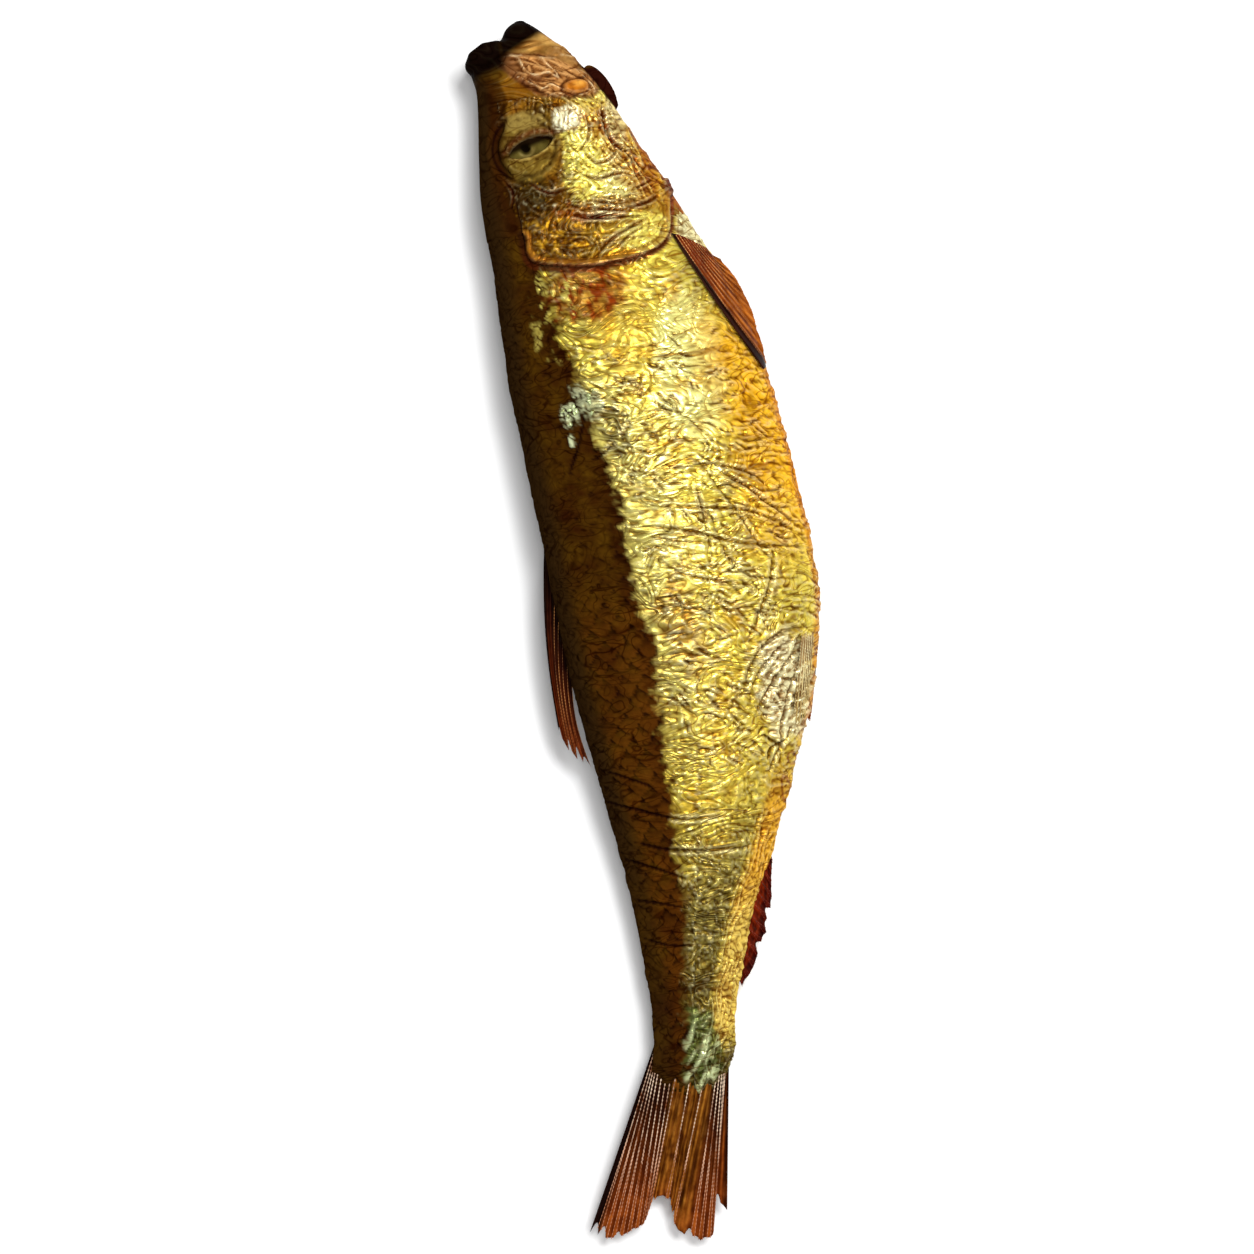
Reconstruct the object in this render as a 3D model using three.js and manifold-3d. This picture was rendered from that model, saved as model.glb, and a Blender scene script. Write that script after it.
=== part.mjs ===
// A whole smoked fish of the herring kind, lying on its left flank with the right flank up.
// Millimetres, +Z up, snout towards +Y, belly towards +X, resting on z = 0. The fish is one piece of food, so it
// is one solid: the trunk and head are lofted, and the jaws, gill covers, eyes and fins are joined to them.
//
// Places on the fish are given as a station, the distance from the tip of the lower jaw towards the tail, and an
// across value, the distance from the fish's long axis, which is positive towards the belly.
import * as THREE from "three";
import { mergeVertices } from "three/addons/utils/BufferGeometryUtils.js";
import Module from "manifold-3d";

const wasm = await Module();
wasm.setup();
const { Manifold, Mesh: SolidMesh } = wasm;

// Driving dimensions.
const BODY_END = 272; // station where the fleshy tail stalk ends inside the tail fin
const ORIGIN_STATION = 154.95; // station and across value of the part's origin, the middle of its outline
const ORIGIN_ACROSS = 13.03;
const HALF_RING = 16; // facets from back to belly on each flank
const GILL_COVER_START = 39;
const GILL_COVER_END = 66;
const GILL_COVER_RISE = 1.1; // how far the cover's free edge stands off the shoulder
const GILL_COVER_TAPER = 16; // length over which the cover rises to that
const MOUTH_STATION = 7.2;
const MOUTH_ACROSS = -4.2;
const MOUTH_GAPE = 5.4;
const MOUTH_WIDTH = 10.4; // from one corner of the jaws to the other, through the fish
const MOUTH_REACH = 22; // length of the scoop, about half of it inside the head
const MOUTH_SLANT = THREE.MathUtils.degToRad(37);
const EYE_STATION = 32.4;
const EYE_ACROSS = -3.1;
const EYE_RADIUS = 6.2;
const EYE_BULGE = 0.9; // how far the eyeball rises over the cheek
const SOCKET_RADIUS = 12;
const SOCKET_DEPTH = 1.5;
const FIN_ROOT_THICKNESS = 1.5;
const FIN_TIP_THICKNESS = 0.8;
const CUTTER_MARGIN = 10; // how far a cutting block reaches past what it cuts
const WEB_SHARE = 0.55; // thickness of the web between two rays, as a share of a ray's
const DRAPED_LIFT = 0.2; // how far a fin laid along the body stands off the skin
const DRAPED_SINK = 1.6; // how far a plate that lies on the skin reaches under it

// Side outline, half thickness and height of the middle plane, as [station, value] knots.
const back = profile([
  [0, -1.2], [2, -3.6], [4, -5.6], [4.8, -9], [6, -12.3], [8.7, -14.7], [12, -14], [16, -13.4], [22, -13.9],
  [32, -15.2], [45, -16.4], [60, -16.3], [85, -16.4], [110, -15.3], [130, -13.9], [150, -13], [170, -11.4],
  [190, -8.9], [210, -6.3], [230, -4.6], [248, -4.2], [260, -4.8], [BODY_END, -4],
]);
const belly = profile([
  [0, 1], [2, 3.4], [5, 6.2], [10, 9.9], [15, 14.2], [20, 17.4], [25, 20.3], [32, 23.6], [40, 27.6], [50, 32.2],
  [60, 36.8], [70, 41.3], [85, 46.2], [100, 49.2], [120, 51.6], [140, 53.2], [150, 53.3], [160, 51.8],
  [175, 48.3], [190, 42.6], [205, 36], [216, 30.9], [228, 24.8], [240, 20.6], [250, 17.4], [262, 14.8],
  [BODY_END, 12.6],
]);
const halfThickness = profile([
  [0, 2], [2, 3.8], [5, 5.8], [9, 7.6], [15, 9], [22, 10.6], [32, 12.2], [45, 13.8], [60, 15], [80, 16.2],
  [110, 17], [140, 16.9], [165, 15.4], [190, 12.2], [215, 8.9], [240, 6.2], [256, 4.9], [266, 3.6],
  [BODY_END, 1.4],
]);
const middleHeight = profile([
  [0, 14.6], [20, 14.4], [45, 14.6], [75, 15.1], [110, 15.7], [140, 15.7], [165, 14.7], [190, 12.9],
  [215, 11.2], [240, 10], [BODY_END, 8.8], [320, 6.4],
]);
// A low power makes that edge of the cross-section blunt, and a high one makes it keen.
const backPower = profile([[0, 0.5], [12, 0.42], [60, 0.4], [200, 0.44], [250, 0.5]]);
const bellyPower = profile([[0, 0.5], [12, 0.5], [40, 0.58], [100, 0.62], [200, 0.6], [250, 0.5]]);

// A smooth curve through knots that never overshoots them (Fritsch-Carlson), flat past both ends.
function profile(knots) {
  const slopes = knots.slice(1).map(([x, y], i) => (y - knots[i][1]) / (x - knots[i][0]));
  const tangents = knots.map((_, i) => {
    const before = slopes[i - 1] ?? 0;
    const after = slopes[i] ?? 0;
    return before * after <= 0 ? 0 : (2 * before * after) / (before + after);
  });
  return (x) => {
    if (x <= knots[0][0]) return knots[0][1];
    if (x >= knots.at(-1)[0]) return knots.at(-1)[1];
    const i = knots.findIndex(([end]) => end > x) - 1;
    const width = knots[i + 1][0] - knots[i][0];
    const f = (x - knots[i][0]) / width;
    const smooth = f * f * (3 - 2 * f);
    const lean = width * f * (1 - f) * ((1 - f) * tangents[i] - f * tangents[i + 1]);
    return THREE.MathUtils.lerp(knots[i][1], knots[i + 1][1], smooth) + lean;
  };
}

// Thickness of the cross-section as a share of its largest, at a share of the way from back to belly.
function fullness(station, share) {
  const a = backPower(station);
  const b = bellyPower(station);
  const u = THREE.MathUtils.clamp(share, 0, 1);
  const widest = a / (a + b);
  return (u ** a * (1 - u) ** b) / (widest ** a * (1 - widest) ** b);
}

// Height of the skin over the fish's middle plane.
function flankRise(station, across) {
  const share = (across - back(station)) / (belly(station) - back(station));
  return halfThickness(station) * fullness(station, share);
}

const place = (station, across, height) =>
  new THREE.Vector3(across - ORIGIN_ACROSS, ORIGIN_STATION - station, height);

// One closed ring of the body, from back over the right flank to the belly and home under the left one.
function ring(station, grow) {
  const points = [];
  for (let i = 0; i < 2 * HALF_RING; i++) {
    const share = 0.5 - 0.5 * Math.cos((Math.PI * i) / HALF_RING);
    const side = i <= HALF_RING ? 1 : -1;
    const low = back(station) - grow / 2;
    const high = belly(station) + grow / 2;
    const rise = (halfThickness(station) + grow) * fullness(station, share);
    points.push(place(station, low + (high - low) * share, middleHeight(station) + side * rise));
  }
  return points;
}

const geometryOf = (points, triangles) =>
  new THREE.BufferGeometry().setFromPoints(points).setIndex(triangles.flat());

function solidOf(geometry) {
  geometry.deleteAttribute("normal");
  geometry.deleteAttribute("uv");
  const merged = mergeVertices(geometry, 1e-4);
  return new Manifold(
    new SolidMesh({
      numProp: 3,
      vertProperties: merged.attributes.position.array,
      triVerts: new Uint32Array(merged.index.array),
    }),
  );
}

// A closed skin over rings of equal length, with a flat cap on both ends.
function loft(stations, growAt = () => 0) {
  const rings = stations.map((station) => ring(station, growAt(station)));
  const size = rings[0].length;
  const points = rings.flat();
  const triangles = [];
  for (let r = 0; r + 1 < rings.length; r++)
    for (let i = 0; i < size; i++) {
      const a = r * size + i;
      const b = r * size + ((i + 1) % size);
      triangles.push([a, a + size, b], [b, a + size, b + size]);
    }
  for (const [r, outward] of [[0, 1], [rings.length - 1, -1]]) {
    const hub = points.push(rings[r].reduce((sum, p) => sum.add(p), new THREE.Vector3()).divideScalar(size)) - 1;
    for (let i = 0; i < size; i++) {
      const edge = [r * size + i, r * size + ((i + 1) % size)];
      triangles.push(outward > 0 ? [hub, ...edge] : [hub, ...edge.reverse()]);
    }
  }
  return solidOf(geometryOf(points, triangles));
}

const steps = (from, to, count) => Array.from({ length: count + 1 }, (_, i) => from + ((to - from) * i) / count);

// A curve through [station, across] points, read by share of its length.
function curve(points) {
  const spline = new THREE.SplineCurve(points.map(([station, across]) => new THREE.Vector2(station, across)));
  return (share) => spline.getPointAt(share);
}

// A repeatable value from 0 to 1, for uneven ray ends.
const uneven = (seed) => {
  const wave = Math.sin(seed * 12.9898 + 4.1) * 43758.5453;
  return wave - Math.floor(wave);
};

// A fin, or any thin ribbed plate: rays run from the root curve to the tip curve with a thinner web between them.
// faceHeights gives the heights of its upper and lower face for a half thickness, and ragged how much shorter a
// torn web or ray ends, as a share.
function ribbed({ root, tip, rays, rows = 4, faceHeights, bow = 0, ragged = 0.05, seed = 1 }) {
  const rootAt = curve(root);
  const tipAt = curve(tip);
  const columns = 2 * rays;
  const width = columns + 1;
  const points = [];
  for (const face of [0, 1])
    for (let row = 0; row <= rows; row++)
      for (let column = 0; column < width; column++) {
        const share = column / columns;
        const from = rootAt(share);
        const to = tipAt(share);
        const isWeb = column % 2 === 1;
        const reach = (row / rows) * (1 - ragged * (isWeb ? 1 + uneven(seed + column) : uneven(seed + column)));
        const spot = from.clone().lerp(to, reach);
        spot.y += bow * Math.sin(Math.PI * reach);
        const thickness = THREE.MathUtils.lerp(FIN_ROOT_THICKNESS, FIN_TIP_THICKNESS, row / rows);
        const half = (thickness / 2) * (isWeb ? WEB_SHARE : 1);
        points.push(place(spot.x, spot.y, faceHeights(spot.x, spot.y, half)[face]));
      }
  const layer = width * (rows + 1);
  const at = (face, row, column) => face * layer + row * width + column;
  const triangles = [];
  const quad = (a, b, c, d) => triangles.push([a, b, c], [a, c, d]);
  for (let row = 0; row < rows; row++) {
    for (let column = 0; column < columns; column++) {
      quad(at(0, row, column), at(0, row + 1, column), at(0, row + 1, column + 1), at(0, row, column + 1));
      quad(at(1, row, column), at(1, row, column + 1), at(1, row + 1, column + 1), at(1, row + 1, column));
    }
    quad(at(0, row, 0), at(1, row, 0), at(1, row + 1, 0), at(0, row + 1, 0));
    quad(at(0, row, columns), at(0, row + 1, columns), at(1, row + 1, columns), at(1, row, columns));
  }
  for (let column = 0; column < columns; column++) {
    quad(at(0, 0, column), at(0, 0, column + 1), at(1, 0, column + 1), at(1, 0, column));
    quad(at(0, rows, column), at(1, rows, column), at(1, rows, column + 1), at(0, rows, column + 1));
  }
  const made = solidOf(geometryOf(points, triangles));
  if (made.volume() > 0) return made;
  return solidOf(geometryOf(points, triangles.map(([a, b, c]) => [a, c, b])));
}

// A fin that stands in the fish's middle plane.
const inMiddle = (station, across, half) => [middleHeight(station) + half, middleHeight(station) - half];

// A plate that lies on the right flank (side 1) or the left one (side -1): its outer face follows the skin, and
// its inner face is sunk under it.
const onFlank = (side, lift) => (station, across, half) => {
  const skin = flankRise(station, across);
  const outer = middleHeight(station) + side * (skin + lift + half);
  const inner = middleHeight(station) + side * Math.max(skin - DRAPED_SINK, 0.1);
  return side > 0 ? [outer, inner] : [inner, outer];
};

function trunkAndHead() {
  const stations = [...steps(0, 12, 12), ...steps(14, 32, 9), ...steps(35, 68, 10), ...steps(73, 238, 25),
    ...steps(243, BODY_END, 6)];
  return loft(stations);
}

// The mouth stands a little open: a scoop between the lower jaw and the lip of the upper one.
function mouth() {
  const scoop = new THREE.SphereGeometry(1, 20, 12);
  scoop.scale(MOUTH_GAPE / 2, MOUTH_REACH / 2, MOUTH_WIDTH / 2);
  scoop.rotateZ(MOUTH_SLANT);
  const centre = place(MOUTH_STATION, MOUTH_ACROSS, middleHeight(MOUTH_STATION));
  return solidOf(scoop.translate(centre.x, centre.y, centre.z));
}

function gillCovers() {
  const rise = (station) =>
    GILL_COVER_RISE * THREE.MathUtils.smoothstep(station, GILL_COVER_START, GILL_COVER_START + GILL_COVER_TAPER);
  const shell = loft(steps(GILL_COVER_START, GILL_COVER_END, 9), rise);
  const rearEdge = [
    [54, -8.5], [58.7, -6.4], [61.9, -2.4], [63.9, 4.4], [64.5, 13], [63.6, 20.8], [61, 26.3], [56, 29.6], [49, 30.4],
  ];
  const [top, bottom] = [rearEdge[0][1], rearEdge.at(-1)[1]];
  const rear = curve(rearEdge);
  const outline = new THREE.Shape([
    new THREE.Vector2(top, -GILL_COVER_START),
    ...steps(0, 1, 26).map((share) => new THREE.Vector2(rear(share).y, -rear(share).x)),
    new THREE.Vector2(bottom, -GILL_COVER_START),
  ]);
  const depth = 2 * (middleHeight(GILL_COVER_END) + CUTTER_MARGIN);
  const cutter = new THREE.ExtrudeGeometry(outline, { depth, bevelEnabled: false });
  cutter.translate(-ORIGIN_ACROSS, ORIGIN_STATION, -CUTTER_MARGIN);
  return shell.intersect(solidOf(cutter));
}

// The rounded bone of the upper jaw that closes each corner of the mouth. The left one stands out under the chin.
function jawPlates() {
  const right = ribbed({
    root: [[6.5, -6.5], [8.3, -0.4], [12.4, 9], [16.7, 14.4]],
    tip: [[12, -9], [15.4, -3.2], [19.4, 1.4], [23, 6.6], [21.6, 13.4]],
    rays: 7, rows: 4, ragged: 0.02, seed: 3, faceHeights: onFlank(1, 0),
  });
  const left = ribbed({
    root: [[6.5, -6.5], [9, 2], [13, 12], [17, 18.6]],
    tip: [[12, -9], [17, 1], [21, 9], [24, 15.5], [23.2, 20.4]],
    rays: 7, rows: 4, ragged: 0.02, seed: 5, faceHeights: onFlank(-1, 0),
  });
  return [right, left];
}

function eyes(body) {
  for (const side of [1, -1]) {
    const skin = middleHeight(EYE_STATION) + side * flankRise(EYE_STATION, EYE_ACROSS);
    const socketHeight = skin + side * (SOCKET_RADIUS - SOCKET_DEPTH);
    const spot = place(EYE_STATION, EYE_ACROSS, socketHeight);
    const socket = new THREE.SphereGeometry(SOCKET_RADIUS, 28, 20).translate(spot.x, spot.y, spot.z);
    const ball = new THREE.SphereGeometry(EYE_RADIUS, 20, 14);
    ball.translate(spot.x, spot.y, skin + side * (EYE_BULGE - EYE_RADIUS));
    body = body.subtract(solidOf(socket)).add(solidOf(ball));
  }
  return body;
}

const tailFin = () =>
  ribbed({
    root: [[257, -2.6], [262, -1.8], [266, 1], [268, 5], [267, 9], [263, 12.2], [258, 13.4]],
    tip: [
      [305.5, -27.4], [308.5, -23.4], [305, -17], [301.5, -12.5], [298, -9.2], [301, -7], [308.5, -3.4],
      [311, 0.6], [308.5, 3.6], [303, 7.4],
    ],
    rays: 19, rows: 5, faceHeights: inMiddle, ragged: 0.025, seed: 11,
  });

const dorsalFin = () =>
  ribbed({
    root: [[128, -12.2], [144, -11.4], [160, -10]],
    tip: [[177, -17], [182, -15], [186, -12.4], [189, -9.6]],
    rays: 9, faceHeights: inMiddle, bow: -1.6, ragged: 0.05, seed: 23,
  });

const analFin = () =>
  ribbed({
    root: [[211, 30.5], [224, 24.6], [235, 20.2], [246, 16.8]],
    tip: [[226, 29.9], [233, 27.2], [240, 23.8], [243, 21.6], [250, 18.3]],
    rays: 10, faceHeights: inMiddle, ragged: 0.12, seed: 37,
  });

const pectoralFins = () =>
  [1, -1].map((side) =>
    ribbed({
      root: [[58, 29.8], [59.6, 33.6], [61.5, 38.2]],
      tip: [[95, 48.2], [93, 48.8], [86.5, 48.6], [79, 46.9]],
      rays: 8, rows: 5, faceHeights: onFlank(side, DRAPED_LIFT), bow: -1.2, ragged: 0.03, seed: 41,
    }));

const pelvicFins = () =>
  [1, -1].map((side) =>
    ribbed({
      root: [[157, 47], [159, 49.4], [160, 51.4]],
      tip: side > 0 ? [[184, 39], [187, 42], [186, 45.6]] : [[183, 43.2], [183.5, 45], [182, 46.8]],
      rays: 6, faceHeights: onFlank(side, DRAPED_LIFT), ragged: 0.05, seed: 53,
    }));

// What would lie under the table top is cut away, which leaves the flat spot that the fish rests on.
function aboveTable(body) {
  const length = 2 * ORIGIN_STATION + CUTTER_MARGIN;
  const below = new THREE.BoxGeometry(length, length, CUTTER_MARGIN).translate(0, 0, -CUTTER_MARGIN / 2);
  return body.subtract(solidOf(below));
}

function wholeFish() {
  const head = trunkAndHead().add(gillCovers()).subtract(mouth());
  const fins = [tailFin(), dorsalFin(), analFin(), ...pectoralFins(), ...pelvicFins()];
  const joined = [...jawPlates(), ...fins].reduce((body, piece) => body.add(piece), eyes(head));
  return aboveTable(joined);
}

function geometryFrom(solid) {
  const { vertProperties, triVerts } = solid.getMesh();
  const geometry = new THREE.BufferGeometry();
  geometry.setAttribute("position", new THREE.BufferAttribute(new Float32Array(vertProperties), 3));
  geometry.setIndex(new THREE.BufferAttribute(new Uint32Array(triVerts), 1));
  geometry.computeVertexNormals();
  return geometry;
}

const smokedSkin = new THREE.MeshStandardMaterial({ color: 0xb98a2c, roughness: 0.38, metalness: 0.35 });
const fish = new THREE.Mesh(geometryFrom(wholeFish()), smokedSkin);
fish.name = "smoked_fish";

const part = new THREE.Group();
part.add(fish);

export default part;
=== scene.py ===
"""A whole smoked fish of the herring kind, lying on its left flank on a pale floor.

Places on the fish are in millimetres: s is the station, from the tip of the lower jaw towards the tail, and
t is the distance across, from the long axis towards the belly. z is the height over the floor.
"""
import math

import bpy
import numpy as np
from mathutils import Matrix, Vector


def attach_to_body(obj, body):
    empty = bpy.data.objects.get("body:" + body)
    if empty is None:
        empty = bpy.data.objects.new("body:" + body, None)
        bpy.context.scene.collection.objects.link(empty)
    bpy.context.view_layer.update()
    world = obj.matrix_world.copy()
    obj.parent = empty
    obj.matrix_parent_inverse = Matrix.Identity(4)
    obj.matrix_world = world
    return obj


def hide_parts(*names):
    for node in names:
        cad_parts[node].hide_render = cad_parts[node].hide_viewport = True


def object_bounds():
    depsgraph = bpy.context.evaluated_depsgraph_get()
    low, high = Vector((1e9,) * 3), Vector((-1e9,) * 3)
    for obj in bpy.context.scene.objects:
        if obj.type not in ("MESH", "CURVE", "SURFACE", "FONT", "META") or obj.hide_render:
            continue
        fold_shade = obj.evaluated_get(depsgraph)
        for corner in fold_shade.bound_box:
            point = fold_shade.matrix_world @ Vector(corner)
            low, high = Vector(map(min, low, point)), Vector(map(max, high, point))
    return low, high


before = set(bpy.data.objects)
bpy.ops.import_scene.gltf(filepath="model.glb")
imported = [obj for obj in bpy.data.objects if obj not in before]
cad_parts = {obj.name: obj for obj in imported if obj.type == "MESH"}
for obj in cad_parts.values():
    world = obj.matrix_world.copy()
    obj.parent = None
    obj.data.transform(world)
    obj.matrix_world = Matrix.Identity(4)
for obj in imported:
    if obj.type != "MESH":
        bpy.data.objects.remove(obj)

import openvdb

MM = 0.001
CAD_LOW, CAD_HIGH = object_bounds()

# ---------------------------------------------------------------- measures of the fish
BACK = [
    (0, -1.2), (2, -3.6), (4, -5.6), (4.8, -9), (6, -12.3), (8.7, -14.7), (12, -14), (16, -13.4),
    (22, -13.9), (32, -15.2), (45, -16.4), (60, -16.3), (85, -16.4), (110, -15.3), (130, -13.9), (150, -13),
    (170, -11.4), (190, -8.9), (210, -6.3), (230, -4.6), (248, -4.2), (260, -4.8), (272, -4),
]
BELLY = [
    (0, 1), (2, 3.4), (5, 6.2), (10, 9.9), (15, 14.2), (20, 17.4), (25, 20.3), (32, 23.6), (40, 27.6),
    (50, 32.2), (60, 36.8), (70, 41.3), (85, 46.2), (100, 49.2), (120, 51.6), (140, 53.2), (150, 53.3),
    (160, 51.8), (175, 48.3), (190, 42.6), (205, 36), (216, 30.9), (228, 24.8), (240, 20.6), (250, 17.4),
    (262, 14.8), (272, 12.6),
]
HALF_THICKNESS = [
    (0, 2), (2, 3.8), (5, 5.8), (9, 7.6), (15, 9), (22, 10.6), (32, 12.2), (45, 13.8), (60, 15), (80, 16.2),
    (110, 17), (140, 16.9), (165, 15.4), (190, 12.2), (215, 8.9), (240, 6.2), (256, 4.9), (266, 3.6),
    (272, 1.4),
]
MIDDLE_HEIGHT = [
    (0, 14.6), (20, 14.4), (45, 14.6), (75, 15.1), (110, 15.7), (140, 15.7), (165, 14.7), (190, 12.9),
    (215, 11.2), (240, 10), (272, 8.8), (320, 6.4),
]
BACK_POWER = [(0, 0.5), (12, 0.42), (60, 0.4), (200, 0.44), (250, 0.5)]
BELLY_POWER = [(0, 0.5), (12, 0.5), (40, 0.58), (100, 0.62), (200, 0.6), (250, 0.5)]
BODY_END = 272
HEAD_END = 53  # station at the nape where the head's skin passes under the trunk's
GILL_DROP = 3.2  # how far the head's skin drops behind the gill cover, to pass under the trunk's
GILL_GAP = 1.7  # how far the trunk's skin drops under the gill cover
FRONT_TUCK = 3  # how far the front end of the trunk's skin dips into the head
DARK_EDGE = [  # across value where the dark back gives way to the bright flank
    (54, -2.5), (69, -3), (76, -2), (88, 1), (103, 4), (124, 7), (134, 8), (149, 9.1), (161, 11), (171, 9.2),
    (199, 9.1), (228, 8), (240, 6), (252, 4.5), (272, 3),
]
EYE = (32.4, -3.1)
EYE_RADIUS = 6.2
GILL_EDGE = [
    (54.5, -6.8), (58, -6.9), (61, -5.3), (62.8, 0), (64, 7), (64, 13), (63.4, 19.5), (61.6, 25.6),
    (57.5, 29.2), (50, 30.4),
]

SNOUT_Y = CAD_HIGH.y / MM
ACROSS_ZERO = max(across for _, across in BELLY) - CAD_HIGH.x / MM


def profile(knots):
    """A smooth curve through knots that never overshoots them (Fritsch-Carlson), flat past both ends."""
    x, y = np.array(knots, float).T
    width = np.diff(x)
    slope = np.diff(y) / width
    tangent = np.zeros(len(x))
    product = slope[:-1] * slope[1:]
    total = np.where(slope[:-1] + slope[1:] == 0, 1, slope[:-1] + slope[1:])
    tangent[1:-1] = np.where(product > 0, 2 * product / total, 0)

    def at(value):
        value = np.clip(value, x[0], x[-1])
        i = np.clip(np.searchsorted(x, value, side="right") - 1, 0, len(x) - 2)
        f = (value - x[i]) / width[i]
        smooth = f * f * (3 - 2 * f)
        lean = width[i] * f * (1 - f) * ((1 - f) * tangent[i] - f * tangent[i + 1])
        return y[i] + (y[i + 1] - y[i]) * smooth + lean

    return at


back, belly, half_thickness = profile(BACK), profile(BELLY), profile(HALF_THICKNESS)
middle_height, back_power, belly_power = profile(MIDDLE_HEIGHT), profile(BACK_POWER), profile(BELLY_POWER)
dark_edge = profile(DARK_EDGE)


def fullness(s, share):
    """Thickness of the cross-section as a share of its largest, at a share of the way from back to belly."""
    a, b = back_power(s), belly_power(s)
    u = np.clip(share, 0, 1)
    widest = a / (a + b)
    return (u**a * (1 - u) ** b) / (widest**a * (1 - widest) ** b)


def flank_rise(s, t):
    """Height of the flank over the middle plane."""
    share = (t - back(s)) / (belly(s) - back(s))
    return half_thickness(s) * fullness(s, share)


def place(s, t, z):
    """Points of the frame, in metres, from places on the fish."""
    return np.stack([(t - ACROSS_ZERO) * MM, (SNOUT_Y - s) * MM, z * MM + 0 * s], axis=-1)


def unplace(points):
    """Places on the fish from points of the frame."""
    return SNOUT_Y - points[:, 1] / MM, points[:, 0] / MM + ACROSS_ZERO, points[:, 2] / MM


# ---------------------------------------------------------------- unevenness
def lattice(ix, iy, seed):
    """A random share, 0 to 1, for each point of a whole-number lattice."""
    h = (ix.astype(np.int64) * 374761393 + iy.astype(np.int64) * 668265263 + seed * 974634777) & 0xFFFFFFFF
    h = ((h ^ (h >> 13)) * 1274126177) & 0xFFFFFFFF
    return ((h ^ (h >> 16)) & 0xFFFFFF) / float(0x1000000)


def waves(x, y, seed=0):
    """Smooth gradient noise, about -1 to 1, with one swell to each unit."""
    x, y = np.broadcast_arrays(np.asarray(x, float), np.asarray(y, float))
    ix, iy = np.floor(x), np.floor(y)
    fx, fy = x - ix, y - iy
    wx, wy = fx**3 * (fx * (fx * 6 - 15) + 10), fy**3 * (fy * (fy * 6 - 15) + 10)
    corners = []
    for cx in (0, 1):
        for cy in (0, 1):
            angle = 2 * math.pi * lattice(ix + cx, iy + cy, seed)
            corners.append(np.cos(angle) * (fx - cx) + np.sin(angle) * (fy - cy))
    low = corners[0] + (corners[1] - corners[0]) * wy
    high = corners[2] + (corners[3] - corners[2]) * wy
    return 1.5 * (low + (high - low) * wx)


def swell(x, y, seed=0, octaves=3):
    """Smooth noise with finer and finer noise added, about -1 to 1."""
    total = sum(waves(x * 2**k, y * 2**k, seed + 17 * k) / 2**k for k in range(octaves))
    return total / (2 - 2 ** (1 - octaves))


def folds(x, y, seed=0):
    """Sharp ridges along the zero lines of the noise, 0 to 1."""
    return np.clip(1 - np.abs(waves(x, y, seed)) * 2.2, 0, 1) ** 2


def nested(x, y, seed=0, count=2.2):
    """Folds that run round one another like the level lines of a map, 0 between them to 1 on their tops."""
    level = swell(x, y, seed, 2) * count
    return 1 - np.abs((level % 1) * 2 - 1)


def cells(x, y, seed=0):
    """Distance to the nearest and to the second nearest of scattered points, one to each unit square."""
    ix, iy = np.floor(x), np.floor(y)
    first, second = np.full(x.shape, 9.0), np.full(x.shape, 9.0)
    for cx in (-1, 0, 1):
        for cy in (-1, 0, 1):
            px = ix + cx + 0.15 + 0.7 * lattice(ix + cx, iy + cy, seed)
            py = iy + cy + 0.15 + 0.7 * lattice(ix + cx, iy + cy, seed + 5)
            d = np.hypot(x - px, y - py)
            second = np.minimum(second, np.maximum(first, d))
            first = np.minimum(first, d)
    return first, second


def ramp(x, low, high):
    """0 at low, 1 at high, smooth between."""
    f = np.clip((x - low) / (high - low), 0, 1)
    return f * f * (3 - 2 * f)


def bell(x, width, centre=0.0):
    """1 at the centre, falling away smoothly over the width on both sides."""
    return np.exp(-(((x - centre) / width) ** 2))


def tapered(along, margin=0.0, power=1.0):
    """Strength of a fold at a share of the way along it: full in its middle, none at its ends."""
    return np.sin(np.pi * np.clip(along, margin, 1 - margin)) ** power


def spot(s, t, at, size, wobble=0.0, seed=0):
    """1 inside an uneven oval patch around a place, 0 outside it."""
    d = np.hypot((s - at[0]) / size[0], (t - at[1]) / size[1])
    if wobble:
        d = d + wobble * swell(s / 3, t / 3, seed)
    return ramp(d, 1.15, 0.75)


def smooth_line(points, count=12):
    """A Catmull-Rom line through points."""
    p = np.array(points, float)
    p = np.vstack([2 * p[0] - p[1], p, 2 * p[-1] - p[-2]])
    f = np.linspace(0, 1, count, endpoint=False)[:, None]
    spans = []
    for a, b, c, d in zip(p[:-3], p[1:-2], p[2:-1], p[3:]):
        square = (2 * a - 5 * b + 4 * c - d) * f**2
        cube = (3 * b - a - 3 * c + d) * f**3
        spans.append(0.5 * (2 * b + (c - a) * f + square + cube))
    return np.vstack(spans + [p[-2:-1]])


def line_distance(s, t, line, reach=6.0):
    """Distance to a line of points, and the share of the way along it.

    Places farther off than the reach only get a distance over the reach.
    """
    line = np.asarray(line, float)
    flat_s, flat_t = np.ravel(s), np.ravel(t)
    near = (flat_s > line[:, 0].min() - reach) & (flat_s < line[:, 0].max() + reach)
    near &= (flat_t > line[:, 1].min() - reach) & (flat_t < line[:, 1].max() + reach)
    distance, along = np.full(flat_s.shape, reach * 2.0), np.zeros(flat_s.shape)
    x, y = flat_s[near], flat_t[near]
    best, where = np.full(x.shape, reach * 2.0), np.zeros(x.shape)
    for i, (a, b) in enumerate(zip(line[:-1], line[1:])):
        run = b - a
        f = np.clip(((x - a[0]) * run[0] + (y - a[1]) * run[1]) / max(run @ run, 1e-9), 0, 1)
        d = np.hypot(x - a[0] - f * run[0], y - a[1] - f * run[1])
        closer = d < best
        best, where = np.where(closer, d, best), np.where(closer, (i + f) / (len(line) - 1), where)
    distance[near], along[near] = best, where
    return distance.reshape(np.shape(s)), along.reshape(np.shape(s))


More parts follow.
